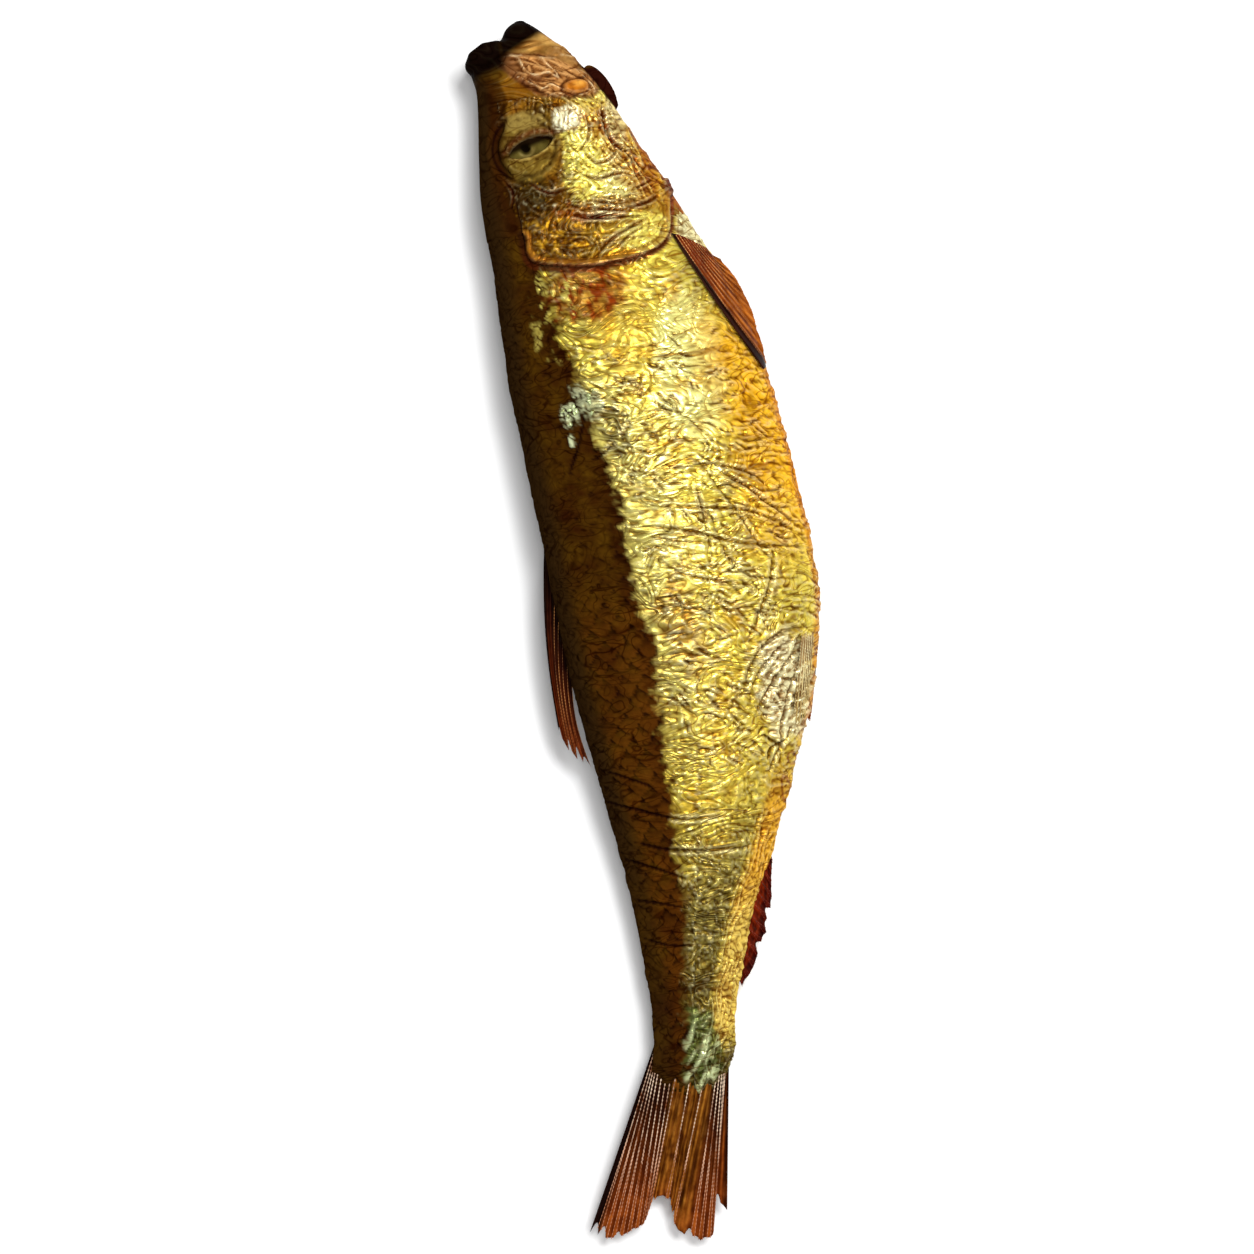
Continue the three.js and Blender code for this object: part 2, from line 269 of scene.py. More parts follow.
def inside(s, t, outline):
    """Whether each place is inside a closed outline."""
    hit = np.zeros(np.shape(s), bool)
    pts = np.asarray(outline, float)
    for (s0, t0), (s1, t1) in zip(pts, np.roll(pts, -1, axis=0)):
        if t0 == t1:
            continue
        crossing = ((t0 > t) != (t1 > t)) & (s < (s1 - s0) * (t - t0) / (t1 - t0) + s0)
        hit ^= crossing
    return hit


def groove(d, width, depth):
    """A cut with a raised lip on both sides, from the distance to its line."""
    return depth * (0.45 * bell(d, width, 2 * width) - bell(d, width))


# ---------------------------------------------------------------- relief of the skin
SCALE_STEP = 3.1  # from one row of scales to the next
SCALE_WIDTH = 4.8
SKIN_SINK = 0.45  # how far the trunk's skin lies under the smooth form, so that its relief stays within it


def scale_relief(s, g):
    """Scales that overlap like tiles, each rising towards its free edge on the tail side, 0 to 1."""
    s = s + 0.5 * waves(s / 9, g / 9, 31)
    g = g + 0.5 * waves(s / 9, g / 9, 32)
    row = np.floor(s / SCALE_STEP)
    best = np.zeros(np.shape(s))
    for back_row in range(0, 3):
        i = row - back_row
        shift = 0.5 * (i % 2)
        column = np.round(g / SCALE_WIDTH - shift)
        for side in (-1, 0, 1):
            j = column + side
            along = (s - i * SCALE_STEP) / (2.05 * SCALE_STEP)
            across = (g - (j + shift) * SCALE_WIDTH) / (0.62 * SCALE_WIDTH)
            covers = along**2 + across**2 < 1
            best = np.where(covers, np.maximum(best, along * (0.75 + 0.5 * lattice(i, j, 3))), best)
    return np.clip(best, 0, 1)


CREASES = [  # (line, width, depth): long folds of the flank skin
    ([(116.2, 21.6), (116.8, 30.5), (120, 39.5), (124.5, 44.2)], 0.28, 0.6),
    ([(116, 28), (122, 37), (127, 42), (131, 46.6), (135, 50)], 0.3, 0.7),
    ([(113, 26), (121.5, 31), (130.5, 36), (139, 40), (144, 43)], 0.26, 0.5),
    ([(124.5, 13.6), (126.5, 23.6), (129.5, 38.5), (137.3, 51)], 0.3, 0.75),
    ([(129.5, 11.5), (132.5, 23.5), (137, 35), (140.5, 52)], 0.32, 0.8),
    ([(132, 12.5), (134.5, 20), (136, 27.5)], 0.28, 0.6),
    ([(117.8, 26.4), (125.5, 26.6), (133.4, 27.4), (142.8, 26.8)], 0.26, 0.5),
    ([(138.4, 14.2), (143, 20.5), (146, 29.8), (148, 37.5)], 0.28, 0.6),
    ([(130, 28.8), (140, 31.5), (145.5, 36.5), (147.6, 47.8)], 0.28, 0.6),
    ([(139.4, 43), (147.6, 41.2), (154, 37.8), (158.4, 35.2)], 0.42, 0.9),
    ([(150.5, 25), (155.6, 25)], 0.24, 0.4),
    ([(152.5, 31.5), (157, 34.5)], 0.24, 0.4),
    ([(96, 18), (101, 20.5), (104, 26), (110, 31)], 0.26, 0.45),
    ([(104, 16), (101, 21), (97, 25)], 0.26, 0.4),
    ([(114, -4.5), (108, -1.5), (99, 2)], 0.3, 0.5),
    ([(107, 9), (110.5, 4.5), (111.5, 1.5)], 0.26, 0.5),
    ([(159.7, 48.2), (160.5, 42), (165, 35), (174.3, 29.6)], 0.45, 0.9),
    ([(165, 47), (168, 42), (175, 36), (180, 32.5)], 0.4, 0.8),
    ([(162, 48), (164, 41), (170, 34.5), (177, 31)], 0.3, 0.6),
    ([(168, 45), (176, 41.5), (184, 38.5), (193, 37)], 0.35, 0.8),
    ([(183.5, 41), (187, 39.4), (189, 35), (192.6, 34.2)], 0.35, 0.7),
    ([(186, 40), (190, 36.6), (195, 33.6)], 0.3, 0.7),
    ([(195.5, -8.4), (199, 0), (202.7, 10.4), (203.5, 21.6)], 0.32, 0.7),
    ([(207, -2), (209.8, 6), (211.5, 16), (212.1, 27)], 0.34, 0.8),
    ([(210.7, -5.5), (214, 2), (218.3, 10.7)], 0.3, 0.6),
    ([(221.3, -4.5), (223, 2), (224.9, 8)], 0.3, 0.6),
    ([(188, -7), (191, -1), (194, 5)], 0.28, 0.5),
    ([(231, -3.6), (233.5, 2), (234.5, 8)], 0.28, 0.5),
]


def short_creases(count, seed):
    """Short bent folds scattered over the flank, most of them running from back to belly."""
    rng = np.random.default_rng(seed)
    made = []
    for _ in range(count):
        s = rng.uniform(84, 190)
        t = rng.uniform(dark_edge(s) + 4, belly(s) - 6)
        lean = rng.normal(0.35, 0.45)
        length = rng.uniform(2.2, 6.5)
        bow = rng.normal(0, 0.8)
        ends = [(s + k * length * math.sin(lean), t + k * length * math.cos(lean)) for k in (-0.5, 0.5)]
        line = [ends[0], (s + bow, t + 0.3 * bow), ends[1]]
        made.append((line, rng.uniform(0.22, 0.32), rng.uniform(0.25, 0.6)))
    return made


ALL_CREASES = [
    (smooth_line(line, 6), width, depth) for line, width, depth in CREASES + short_creases(190, 401)
]
BARE_PATCHES = [  # (place, half size, how bare)
    ((100, -2.0), (3.2, 2.4), 1.0), ((98.2, 3.8), (4, 3.2), 0.55), ((94.3, 0.5), (2.2, 2), 0.6),
    ((106, -2.6), (1.8, 0.7), 1.0),
]
VENT_RINGS = [((192.1, 40.4), (1.5, 1.2)), ((199.5, 37.4), (3.2, 1.1))]  # (place, half size)


def flank_relief(s, t, g, side):
    """Height of the trunk's skin over the smooth form: scales, wrinkles, folds and dimples."""
    edge = dark_edge(s) + 1.2 * swell(s / 6, t / 6, 51)
    on_back = ramp(t, edge + 1.5, edge - 1.5)
    stalk = ramp(s, 190, 215)
    height = 0.34 * scale_relief(s, g) * np.maximum(on_back * (0.55 + 0.45 * ramp(s, 120, 150)), 0.8 * stalk)

    bend = 2.2 * waves(s / 16, g / 22, 61)
    gold = (1 - on_back) * (1 - 0.6 * stalk)
    uneven = np.clip(0.75 + 0.6 * swell(s / 12, t / 12, 64), 0.2, 1.4)
    uneven *= 1 - 0.55 * spot(s, t, (90, 28), (18, 10), 0.2, 7)
    height += gold * uneven * 0.34 * folds(s / 2.9 + bend, g / 12 + 0.4 * bend, 62)
    height += gold * uneven * 0.20 * nested(s / 8 + 0.4 * bend, g / 11, 66, 3.2)
    height += gold * 0.18 * folds(s / 1.9 + 1.5 * bend, g / 6, 63)
    height += (1 - on_back) * stalk * 0.3 * nested(s / 4.4, g / 4.4, 67, 2.4)
    height += (1 - gold) * 0.12 * folds(s / 2.2 + bend, g / 6, 65)

    from_belly = belly(s) - t
    under_belly = ramp(from_belly, 19, 9) * ramp(s, 78, 90) * ramp(s, 205, 175)
    near, far = cells(s / 4.2 + 0.5 * bend, g / 4.6 + 0.4 * waves(s / 5, g / 5, 74), 71)
    height += 0.3 * under_belly * (ramp(far - near, 0, 0.5) - 0.6) * uneven
    height += 0.5 * swell(s / 14, g / 14, 72) + 0.14 * swell(s / 4, g / 4, 73)
    strip = ramp(from_belly, 9, 5) * ramp(s, 190, 206)
    height += 0.55 * strip * folds(from_belly / 1.6 + 0.7 * waves(s / 7, t / 7, 85), s / 12, 86)

    height += 0.45 * spot(s, t, (262, 6), (9, 6), 0.4, 13) * tail_streaks(s, t)

    if side > 0:
        crumpled = spot(s, t, (174, 41), (16, 8.5), 0.3, 9)
        u, v = 0.62 * s - 0.79 * t, 0.79 * s + 0.62 * t
        height += 0.75 * crumpled * folds(v / 3 + 0.6 * waves(u / 6, v / 6, 88), u / 10, 87)
        for line, width, depth in ALL_CREASES:
            d, along = line_distance(s, t, line, 3)
            height += groove(d, width + 0.06, depth) * tapered(along, 0.02, 0.7)
        near, far = bare_skin_cells(s, t)
        height += bare_patches(s, t) * (0.35 * ramp(far - near, 0, 0.35) + 0.1)
        height += 0.6 * torn_skin(s, t) * folds((t - 0.45 * s) / 1.9, s / 9, 84)
    return height


def bare_patches(s, t):
    """Where scales have come away and the pale skin shows, 0 to 1."""
    return np.max([bare * spot(s, t, at, half, 0.5, 17) for at, half, bare in BARE_PATCHES], axis=0)


def bare_skin_cells(s, t):
    """The small cells of the bare skin, as distances to their nearest and second nearest middles."""
    bend_s, bend_t = 0.5 * waves(s / 2, t / 2, 44), 0.5 * waves(s / 2, t / 2, 45)
    return cells(s / 3 + bend_s, t / 2 + bend_t, 82)


def torn_skin(s, t):
    """The pale torn skin over the root of the pectoral fin, 0 to 1."""
    return spot(s, t, (57.5, 34.6), (8, 3.6), 0.3, 83)


def tail_streaks(s, t):
    """Slanting streaks where the skin gathers at the root of the tail fin."""
    return ramp(waves((s + 1.6 * t) / 3.4, (1.6 * s - t) / 16, 35), -0.15, 0.45)


def girth(s, t):
    """Distance over the skin from the ridge of the back, near enough to space a pattern evenly."""
    rise = flank_rise(s, t)
    return np.where(t < (back(s) + belly(s)) / 2, np.hypot(t - back(s), 0.75 * rise),
                    belly(s) - back(s) + 9 - np.hypot(belly(s) - t, 0.75 * rise))


# ---------------------------------------------------------------- colours
def srgb(r, g, b):
    """Linear colour from display values of 0 to 255."""
    c = np.array([r, g, b], float) / 255
    return np.where(c <= 0.04045, c / 12.92, ((c + 0.055) / 1.055) ** 2.4)


def blend(base, colour, amount):
    """Base colours taken some of the way, 0 to 1, to another colour."""
    return base + (np.asarray(colour) - base) * np.clip(amount, 0, 1)[..., None]


def paint(colour, coats):
    """Colours with coats laid over them in turn, each a tint and how much of it."""
    for tint, amount in coats:
        colour = blend(colour, tint, amount)
    return colour


def plain(colour, s):
    """One colour for every place."""
    return np.broadcast_to(colour, np.shape(s) + (3,))


RIDGE_BLACK = srgb(46, 29, 10)
BACK_BROWN = srgb(46, 19, 3)
BACK_OLIVE = srgb(74, 48, 6)
SCALE_BROWN = srgb(88, 47, 8)
GOLD_PALE = srgb(238, 222, 116)
GOLD = srgb(232, 208, 78)
GOLD_DEEP = srgb(208, 156, 34)
AMBER = srgb(255, 180, 0)
BELLY_PALE = srgb(252, 242, 190)
STALK_OLIVE = srgb(76, 60, 18)
STALK_GREEN = srgb(84, 98, 46)
AMBER_EDGE = srgb(222, 162, 44)
RUST = srgb(112, 42, 6)
FLAKE_GREEN = srgb(230, 240, 188)
DARK_LINE = srgb(44, 20, 6)
SMOKE_AND_SHADE = np.array([0.27, 0.16, 0.07])  # what is left of each colour where painted shade darkens folds, creases and fin furrows, and in the dark gaps and streaks of the fin webs
# painted highlight for the tops of the skin's folds
FOLD_HIGHLIGHT = srgb(255, 248, 196)


def gill_shade(colour, s, t):
    """The gap along the free edge of the gill cover: wide and black at the nape, thin and red below."""
    gill, along = line_distance(s, t, GILL_LINE, 4)
    covered = inside(s, t, GILL_OUTLINE)
    width = (1.9 - 1.0 * along) * np.where(covered, 0.35, 1.0)
    rim = np.where(covered, bell(gill, 0.7, 1.2), 0) * ramp(t, -9, -6)
    shade = blend(plain(DARK_LINE, s), srgb(112, 44, 12), along)
    gap = 0.95 * ramp(gill, width + 0.35, width - 0.25) * ramp(t, -9.5, -7.5) * ramp(s, 44, 50)
    return paint(colour, [(srgb(150, 92, 26), 0.7 * rim), (shade, gap)])


def flank_colour(s, t, edge, wander, fine, side):
    """Gold, paler under the dark back, amber towards the belly, and green on the stalk of the tail."""
    from_belly = belly(s) - t
    band = ramp(t, edge + 19, edge + 6) * ramp(s, 84, 100) * ramp(s, 200, 172)
    dull = spot(s, t, (78, 14), (15, 8), 0.3, 40)
    amber = ramp(from_belly, 21, 7) * ramp(s, 72, 90) * ramp(s, 152, 126)
    colour = paint(plain(GOLD, s), [
        (GOLD_PALE, 0.85 * band + 0.25 * fine),
        (srgb(255, 250, 150), 0.85 * spot(s, t, (92, 29), (20, 9), 0.2, 7)),
        (srgb(196, 164, 60), 0.7 * dull),
        (AMBER, amber * (0.75 + 0.5 * wander)),
        (GOLD_DEEP, 0.75 * ramp(wander, 0.05, 0.5) * (1 - 0.6 * band)),
        (srgb(222, 186, 58), 0.35 * ramp(s, 150, 180)),
        (srgb(190, 140, 52), 0.5 * spot(s, t, (160, 19), (9, 5), 0.4, 41)),
    ])
    colour = blend(colour, colour * 0.62, 0.75 * ramp(t, edge + 13, edge + 4))

    strip = ramp(from_belly + 0.8 * fine, 8, 4) * ramp(s, 186, 204) * ramp(s, 266, 254)
    strip_colour = blend(plain(AMBER_EDGE, s), srgb(224, 190, 88), ramp(s, 216, 234))
    contour = ramp(from_belly, 2.2, 0.6) * ramp(s, 60, 70) * ramp(s, 196, 180)
    stalk = ramp(s + 0.5 * (t - 10), 196, 228)
    speckle = 0.9 * ramp(fine, -0.3, 0.5) * ramp(s, 262, 205)
    green = spot(s, t, (260, 6.5), (10, 5), 0.6, 13)
    pale_green = np.maximum(0.8 * green * ramp(s, 250, 262), spot(s, t, (266.5, 5.5), (3.6, 5.5), 0.7, 14))
    colour = paint(colour, [
        (srgb(150, 104, 26), 0.6 * spot(s, t, (152, 17), (9, 6), 0.5, 34)),
        (BELLY_PALE, (0.9 if side > 0 else 0.3) * spot(s, t, (174, 41), (14, 7), 0.5, 9)),
        (strip_colour, 0.9 * strip),
        (srgb(196, 112, 16), 0.75 * contour),
        (blend(plain(STALK_OLIVE, s), srgb(188, 170, 84), speckle), stalk * (1 - strip) * 0.95),
        (STALK_GREEN, 0.8 * green),
        (srgb(214, 226, 166), 0.95 * pale_green * tail_streaks(s, t)),
    ])
    return colour, 0.85 - 0.3 * stalk - 0.25 * strip - 0.3 * amber - 0.35 * dull


def back_colour(s, t, g, edge, wander, fine):
    """Brown and olive, black along the ridge, with brown scales from the middle of the fish on."""
    from_back = t - back(s)
    relief = scale_relief(s, g)
    scaled = ramp(s, 138, 158) * ramp(from_back, 3, 7)
    brown = paint(plain(BACK_BROWN, s), [
        (BACK_OLIVE, 0.55 + 0.9 * wander + 0.4 * fine),
        (BACK_BROWN, ramp(t, edge - 8, edge - 1) * 0.85),
        (SCALE_BROWN, 0.75 * scaled * ramp(relief, 0.25, 0.8) * (0.7 + 0.6 * wander)),
    ])
    brown = blend(brown, brown * 0.3, 0.9 * ramp(relief, 0.2, 0.05) * (0.3 + 0.7 * scaled))
    return blend(brown, RIDGE_BLACK, ramp(from_back, 7.5, 2.0) * (1 - 0.5 * ramp(s, 200, 230)))


def right_flank_marks(colour, foil, s, t, fine):
    """The smear, rust, bare patches, flecks and vent of the flank that lies up, and painted shade along its
    creases.
    """
    smear = spot(s, t, (105, 8.5), (8, 3.4), 0.5, 36) * ramp(fine, -0.5, 0.1)
    rust = spot(s, t, (69.5, 6.5), (9, 10), 0.3, 15)
    rust *= 0.72 + 0.28 * ramp(swell(s / 4, t / 1.6, 18), -0.25, 0.25)
    bare = bare_patches(s, t)
    near, far = bare_skin_cells(s, t)
    bright = lattice(np.floor(near * 7), np.floor(far * 5), 83)
    flecks = spot(s, t, (74, -2), (12, 6.5), 0.5, 19) * ramp(swell(s / 5, t / 3, 38), 0.04, 0.2)
    flecks = flecks * ramp(folds(s / 2.4, t / 2.4, 43), 0.75, 0.3)
    colour = paint(colour, [
        (BACK_OLIVE, 0.75 * smear),
        (RUST, rust),
        (srgb(58, 46, 16), 0.7 * ramp(bare, 0, 0.4)),
        (FLAKE_GREEN, 0.95 * bare * ramp(far - near, 0.1, 0.3) * (0.4 + 0.6 * bright)),
        (srgb(206, 190, 88), 0.85 * flecks),
        (srgb(232, 222, 170), 0.85 * torn_skin(s, t)),
    ])
    for at, half in VENT_RINGS:
        d = np.hypot((s - at[0]) / half[0], (t - at[1]) / half[1])
        colour = blend(colour, srgb(150, 84, 26), 0.9 * ramp(np.abs(d - 1), 0.35, 0.1))
    # painted shade along the creases of the flank
    for line, width, _ in ALL_CREASES:
        d, along = line_distance(s, t, line, 2)
        colour = blend(colour, colour * SMOKE_AND_SHADE, 0.8 * bell(d, 1.05 * width) * tapered(along, 0, 0.5))
    return colour, np.maximum(foil * (1 - 0.75 * rust), 0.6 * flecks)


def trunk_colour(s, t, g, side):
    """Colour and foil share (0 dull to 1 metallic) of the trunk's skin."""
    wander = swell(s / 9, g / 9, 101)
    fine = swell(s / 2.2, g / 2.6, 102)
    edge = dark_edge(s) + 2.4 * swell(s / 5, t / 5, 51) + 3.0 * fine
    on_back = ramp(t, edge + 1.6, edge - 1.6)
    colour, foil = flank_colour(s, t, edge, wander, fine, side)
    colour = blend(colour, back_colour(s, t, g, edge, wander, fine), on_back)
    foil = foil * (1 - on_back)
    if side > 0:
        colour, foil = right_flank_marks(colour, foil, s, t, fine)
    return colour, foil


def hollows(mesh, heights, rounds=5):
    """How far each point lies under the skin around it, in the unit of the heights."""
    edges = np.zeros(len(mesh.edges) * 2, np.int32)
    mesh.edges.foreach_get("vertices", edges)
    a, b = edges.reshape(-1, 2).T
    count = np.bincount(np.concatenate([a, b]), minlength=len(heights))
    level = heights
    for _ in range(rounds):
        total = np.bincount(a, level[b], len(heights)) + np.bincount(b, level[a], len(heights))
        level = 0.4 * level + 0.6 * total / count
    return level - heights


def paint_fold_shade_and_highlights(colour, hollow, foil, full):
    """Painted shade darkens the folds of the skin and a painted highlight brightens the tops of the folds."""
    colour = blend(colour, colour * SMOKE_AND_SHADE, 0.88 * ramp(hollow, 0.02 * full, 0.85 * full))
    top_highlight = 0.5 * foil * ramp(-hollow, 0.3 * full, 1.3 * full)
    return blend(colour, np.maximum(colour, 0.72 * FOLD_HIGHLIGHT), top_highlight)


def plate_folds(s, t):
    """Tight folds that run along the near jaw plate, 0 between them to 1 on their tops."""
    u, v = 0.54 * s + 0.84 * t, 0.84 * s - 0.54 * t
    return np.maximum(folds(v / 2.6 + 0.7 * waves(u / 5, v / 5, 218), u / 11, 211),
                      0.6 * folds(v / 1.7 + 0.8 * waves(u / 4, v / 4, 219), u / 7, 212))


# ---------------------------------------------------------------- meshes
def new_object(name, data):
    obj = bpy.data.objects.new(name, data)
    bpy.context.scene.collection.objects.link(obj)
    return obj


def make_mesh(name, points, faces, material):
    mesh = bpy.data.meshes.new(name)
    mesh.from_pydata(points.tolist() if isinstance(points, np.ndarray) else points, [], faces)
    mesh.update()
    obj = new_object(name, mesh)
    mesh.materials.append(material)
    mesh.shade_smooth()
    return obj


def points_of(mesh):
    co = np.zeros(len(mesh.vertices) * 3, np.float32)
    mesh.vertices.foreach_get("co", co)
    return co.reshape(-1, 3).astype(float)


def normals_of(mesh):
    n = np.zeros(len(mesh.vertices) * 3, np.float32)
    mesh.vertex_normals.foreach_get("vector", n)
    return n.reshape(-1, 3).astype(float)


def set_points(mesh, points):
    mesh.vertices.foreach_set("co", points.astype(np.float32).ravel())
    mesh.update()


def raise_skin(mesh, heights):
    """Points moved out along their normals, by heights in millimetres."""
    set_points(mesh, points_of(mesh) + normals_of(mesh) * (heights * MM)[:, None])


def attach(mesh, name, kind, field, values):
    """A named attribute with a value for every point."""
    mesh.attributes.new(name, kind, "POINT").data.foreach_set(field, np.array(values, np.float32).ravel())


def store(mesh, name, values):
    """Colours, or shares from 0 to 1, for the material to read."""
    if values.ndim == 2:
        rgba = np.ones((len(values), 4), np.float32)
        rgba[:, :3] = np.clip(values, 0.001, 1)
        attach(mesh, name, "FLOAT_COLOR", "color", rgba)
    else:
        attach(mesh, name, "FLOAT", "value", np.clip(values, 0, 1))


def rest_on_floor(points):
    """Skin that would pass through the floor lies flat on it, with a soft bend into the flat."""
    z = points[:, 2] / MM
    soft = 0.7
    z = np.where(z < soft, soft * np.exp((z - soft) / soft), z)
    points[:, 2] = np.maximum(z - 0.12 * soft * np.exp(-z / soft), 0.0) * MM
    return points


def body_grid(stations, right, left):
    """Rings of places over the body: s, t, z and the flank (1 right, -1 left), one row to a station."""
    v = np.concatenate([np.linspace(0, 1, right, endpoint=False), np.linspace(1, 0, left, endpoint=False)])
    side = np.concatenate([np.ones(right), -np.ones(left)])
    share = 0.5 - 0.5 * np.cos(np.pi * v)
    s = np.repeat(stations[:, None], len(v), axis=1)
    t = back(s) + (belly(s) - back(s)) * share
    z = middle_height(s) + side * half_thickness(s) * fullness(s, share + 0 * s)
    return s, t, z, side + 0 * s


def grid_faces(rows, columns):
    """Faces of a closed tube of rings, and of the fans that close its ends round the last two points."""
    a = np.arange(rows * columns).reshape(rows, columns)
    b = np.roll(a, -1, axis=1)
    quads = np.stack([a[:-1], a[1:], b[1:], b[:-1]], axis=-1).reshape(-1, 4).tolist()
    first, last = rows * columns, rows * columns + 1
    quads += [[first, int(p), int(q)] for p, q in zip(a[0], b[0])]
    quads += [[last, int(q), int(p)] for p, q in zip(a[-1], b[-1])]
    return quads


def skin_tube(name, stations, right, left, material):
    """A closed smooth skin over the body, with so many points round each flank."""
    s, t, z, _ = body_grid(stations, right, left)
    points = place(s, t, z).reshape(-1, 3)
    hubs = [place(e, (back(e) + belly(e)) / 2, middle_height(e)) for e in (stations[0], stations[-1])]
    return make_mesh(name, np.vstack([points, hubs]), grid_faces(*s.shape), material)


def both_flanks(function, s, t, g, side):
    """Values of a function that treats the flanks apart, for points on both."""
    right, left = function(s, t, g, 1), function(s, t, g, -1)
    if isinstance(right, tuple):
        return tuple(np.where(side.reshape(-1, *[1] * (r.ndim - 1)) > 0, r, l) for r, l in zip(right, left))
    return np.where(side > 0, right, left)


def trunk(material):
    stations = np.concatenate([np.linspace(48, 258, 424, endpoint=False), np.linspace(258, BODY_END, 28)])
    obj = skin_tube("trunk_skin", stations, 150, 68, material)
    s, t, z = unplace(points_of(obj.data))
    side = np.where(z >= middle_height(s), 1, -1)
    g = girth(s, t)
    heights = both_flanks(flank_relief, s, t, g, side)
    heights *= ramp(s, 49, 53)
    heights -= FRONT_TUCK * ramp(s, 51.5, 48.2)
    gill, _ = line_distance(s, t, GILL_LINE, 4)
    covered = inside(s, t, GILL_OUTLINE)
    heights = np.where(covered, -GILL_GAP * ramp(gill, -0.4, 1.0), heights)
    colour, foil = both_flanks(trunk_colour, s, t, g, side)
    # painted shade in the hollows of the relief and painted highlight on its tops
    colour = paint_fold_shade_and_highlights(colour, hollows(obj.data, heights), foil, 0.13)
    colour = gill_shade(colour, s, t)
    heights *= ramp(s, BODY_END, BODY_END - 2)

    end = ramp(s, 256, BODY_END)
    share = (t - back(s)) / (belly(s) - back(s))
    lobes = 0.7 * np.cos(2 * np.pi * share * 5.5) - 5.0 * (2 * share - 1) ** 2
    flat = middle_height(s) + (z - middle_height(s)) * (1 - 0.7 * ramp(s, 262, BODY_END))
    along = s + lobes * ramp(s, 262, BODY_END)
    across = t - 3.4 * end * (1 - share) ** 2 + end * share
    set_points(obj.data, place(along, across, flat))
    raise_skin(obj.data, heights - SKIN_SINK)
    store(obj.data, "colour", colour)
    store(obj.data, "foil", foil)
    set_points(obj.data, rest_on_floor(points_of(obj.data)))
    return obj


# ---------------------------------------------------------------- the head
VOXEL = 0.3
BAND = 12  # voxels of distance kept on both sides of the surface
FIELD_LOW = np.array([-20.0, -73.0, -4.0])  # t, -s and z of the field's first voxel
FIELD_SIZE = np.array([200, 255, 128])
FIELD_FIRST = tuple(int(round(v / VOXEL)) for v in FIELD_LOW)


def field_axes():
    return [FIELD_LOW[k] + VOXEL * np.arange(FIELD_SIZE[k]) for k in range(3)]


def field_grids():
    x, y, z = field_axes()
    return -y[None, :, None], x[:, None, None], z[None, None, :]


def loft_field():
    """Distance field of the smooth head and shoulder."""
    stations = np.concatenate([np.linspace(0, 12, 40, endpoint=False), np.linspace(12, 71, 90)])
    s, t, z, _ = body_grid(stations, 60, 60)
    points = np.stack([t, -s, z], axis=-1).reshape(-1, 3)
    hubs = [[(back(e) + belly(e)) / 2, -e, middle_height(e)] for e in (stations[0], stations[-1])]
    faces = grid_faces(*s.shape)
    quads = np.array([f for f in faces if len(f) == 4], np.uint32)
    tris = np.array([f for f in faces if len(f) == 3], np.uint32)
    transform = openvdb.createLinearTransform(voxelSize=VOXEL)
    points = np.vstack([points, hubs]).astype(np.float32)
    grid = openvdb.FloatGrid.createLevelSetFromPolygons(
        points, triangles=tris, quads=quads, transform=transform, halfWidth=BAND)
    field = np.zeros(FIELD_SIZE, np.float32)
    grid.copyToArray(field, ijk=FIELD_FIRST)
    return field


def ball_field(at, radii, turn=0.0):
    """Near enough the distance to an ellipsoid at (s, t, z), its s and t radii turned about z."""
    s, t, z = field_grids()
    c, n = math.cos(math.radians(turn)), math.sin(math.radians(turn))
    ds, dt = s - at[0], t - at[1]
    p = [(c * ds + n * dt) / radii[0], (c * dt - n * ds) / radii[1], (z - at[2]) / radii[2]]
    k0 = np.sqrt(p[0] ** 2 + p[1] ** 2 + p[2] ** 2)
    k1 = np.sqrt((p[0] / radii[0]) ** 2 + (p[1] / radii[1]) ** 2 + (p[2] / radii[2]) ** 2)
    return (k0 * (k0 - 1) / np.maximum(k1, 1e-6)).astype(np.float32)


def limb_field(path):
    """Distance to a limb through (s, t, z, radius) points."""
    s, t, z = field_grids()
    best = None
    for (s0, t0, z0, r0), (s1, t1, z1, r1) in zip(path[:-1], path[1:]):
        run = np.array([s1 - s0, t1 - t0, z1 - z0])
        f = np.clip(((s - s0) * run[0] + (t - t0) * run[1] + (z - z0) * run[2]) / (run @ run), 0, 1)
        d = np.sqrt((s - s0 - f * run[0]) ** 2 + (t - t0 - f * run[1]) ** 2 + (z - z0 - f * run[2]) ** 2)
        d = d - (r0 + (r1 - r0) * f)
        best = d if best is None else np.minimum(best, d)
    return best.astype(np.float32)


def merge(a, b, soft):
    """Two fields joined with a soft fillet."""
    f = np.clip(0.5 + 0.5 * (b - a) / soft, 0, 1)
    return b + (a - b) * f - soft * f * (1 - f)


def cut(a, b, soft):
    """The first field with the second taken out of it."""
    return -merge(-a, b, soft)


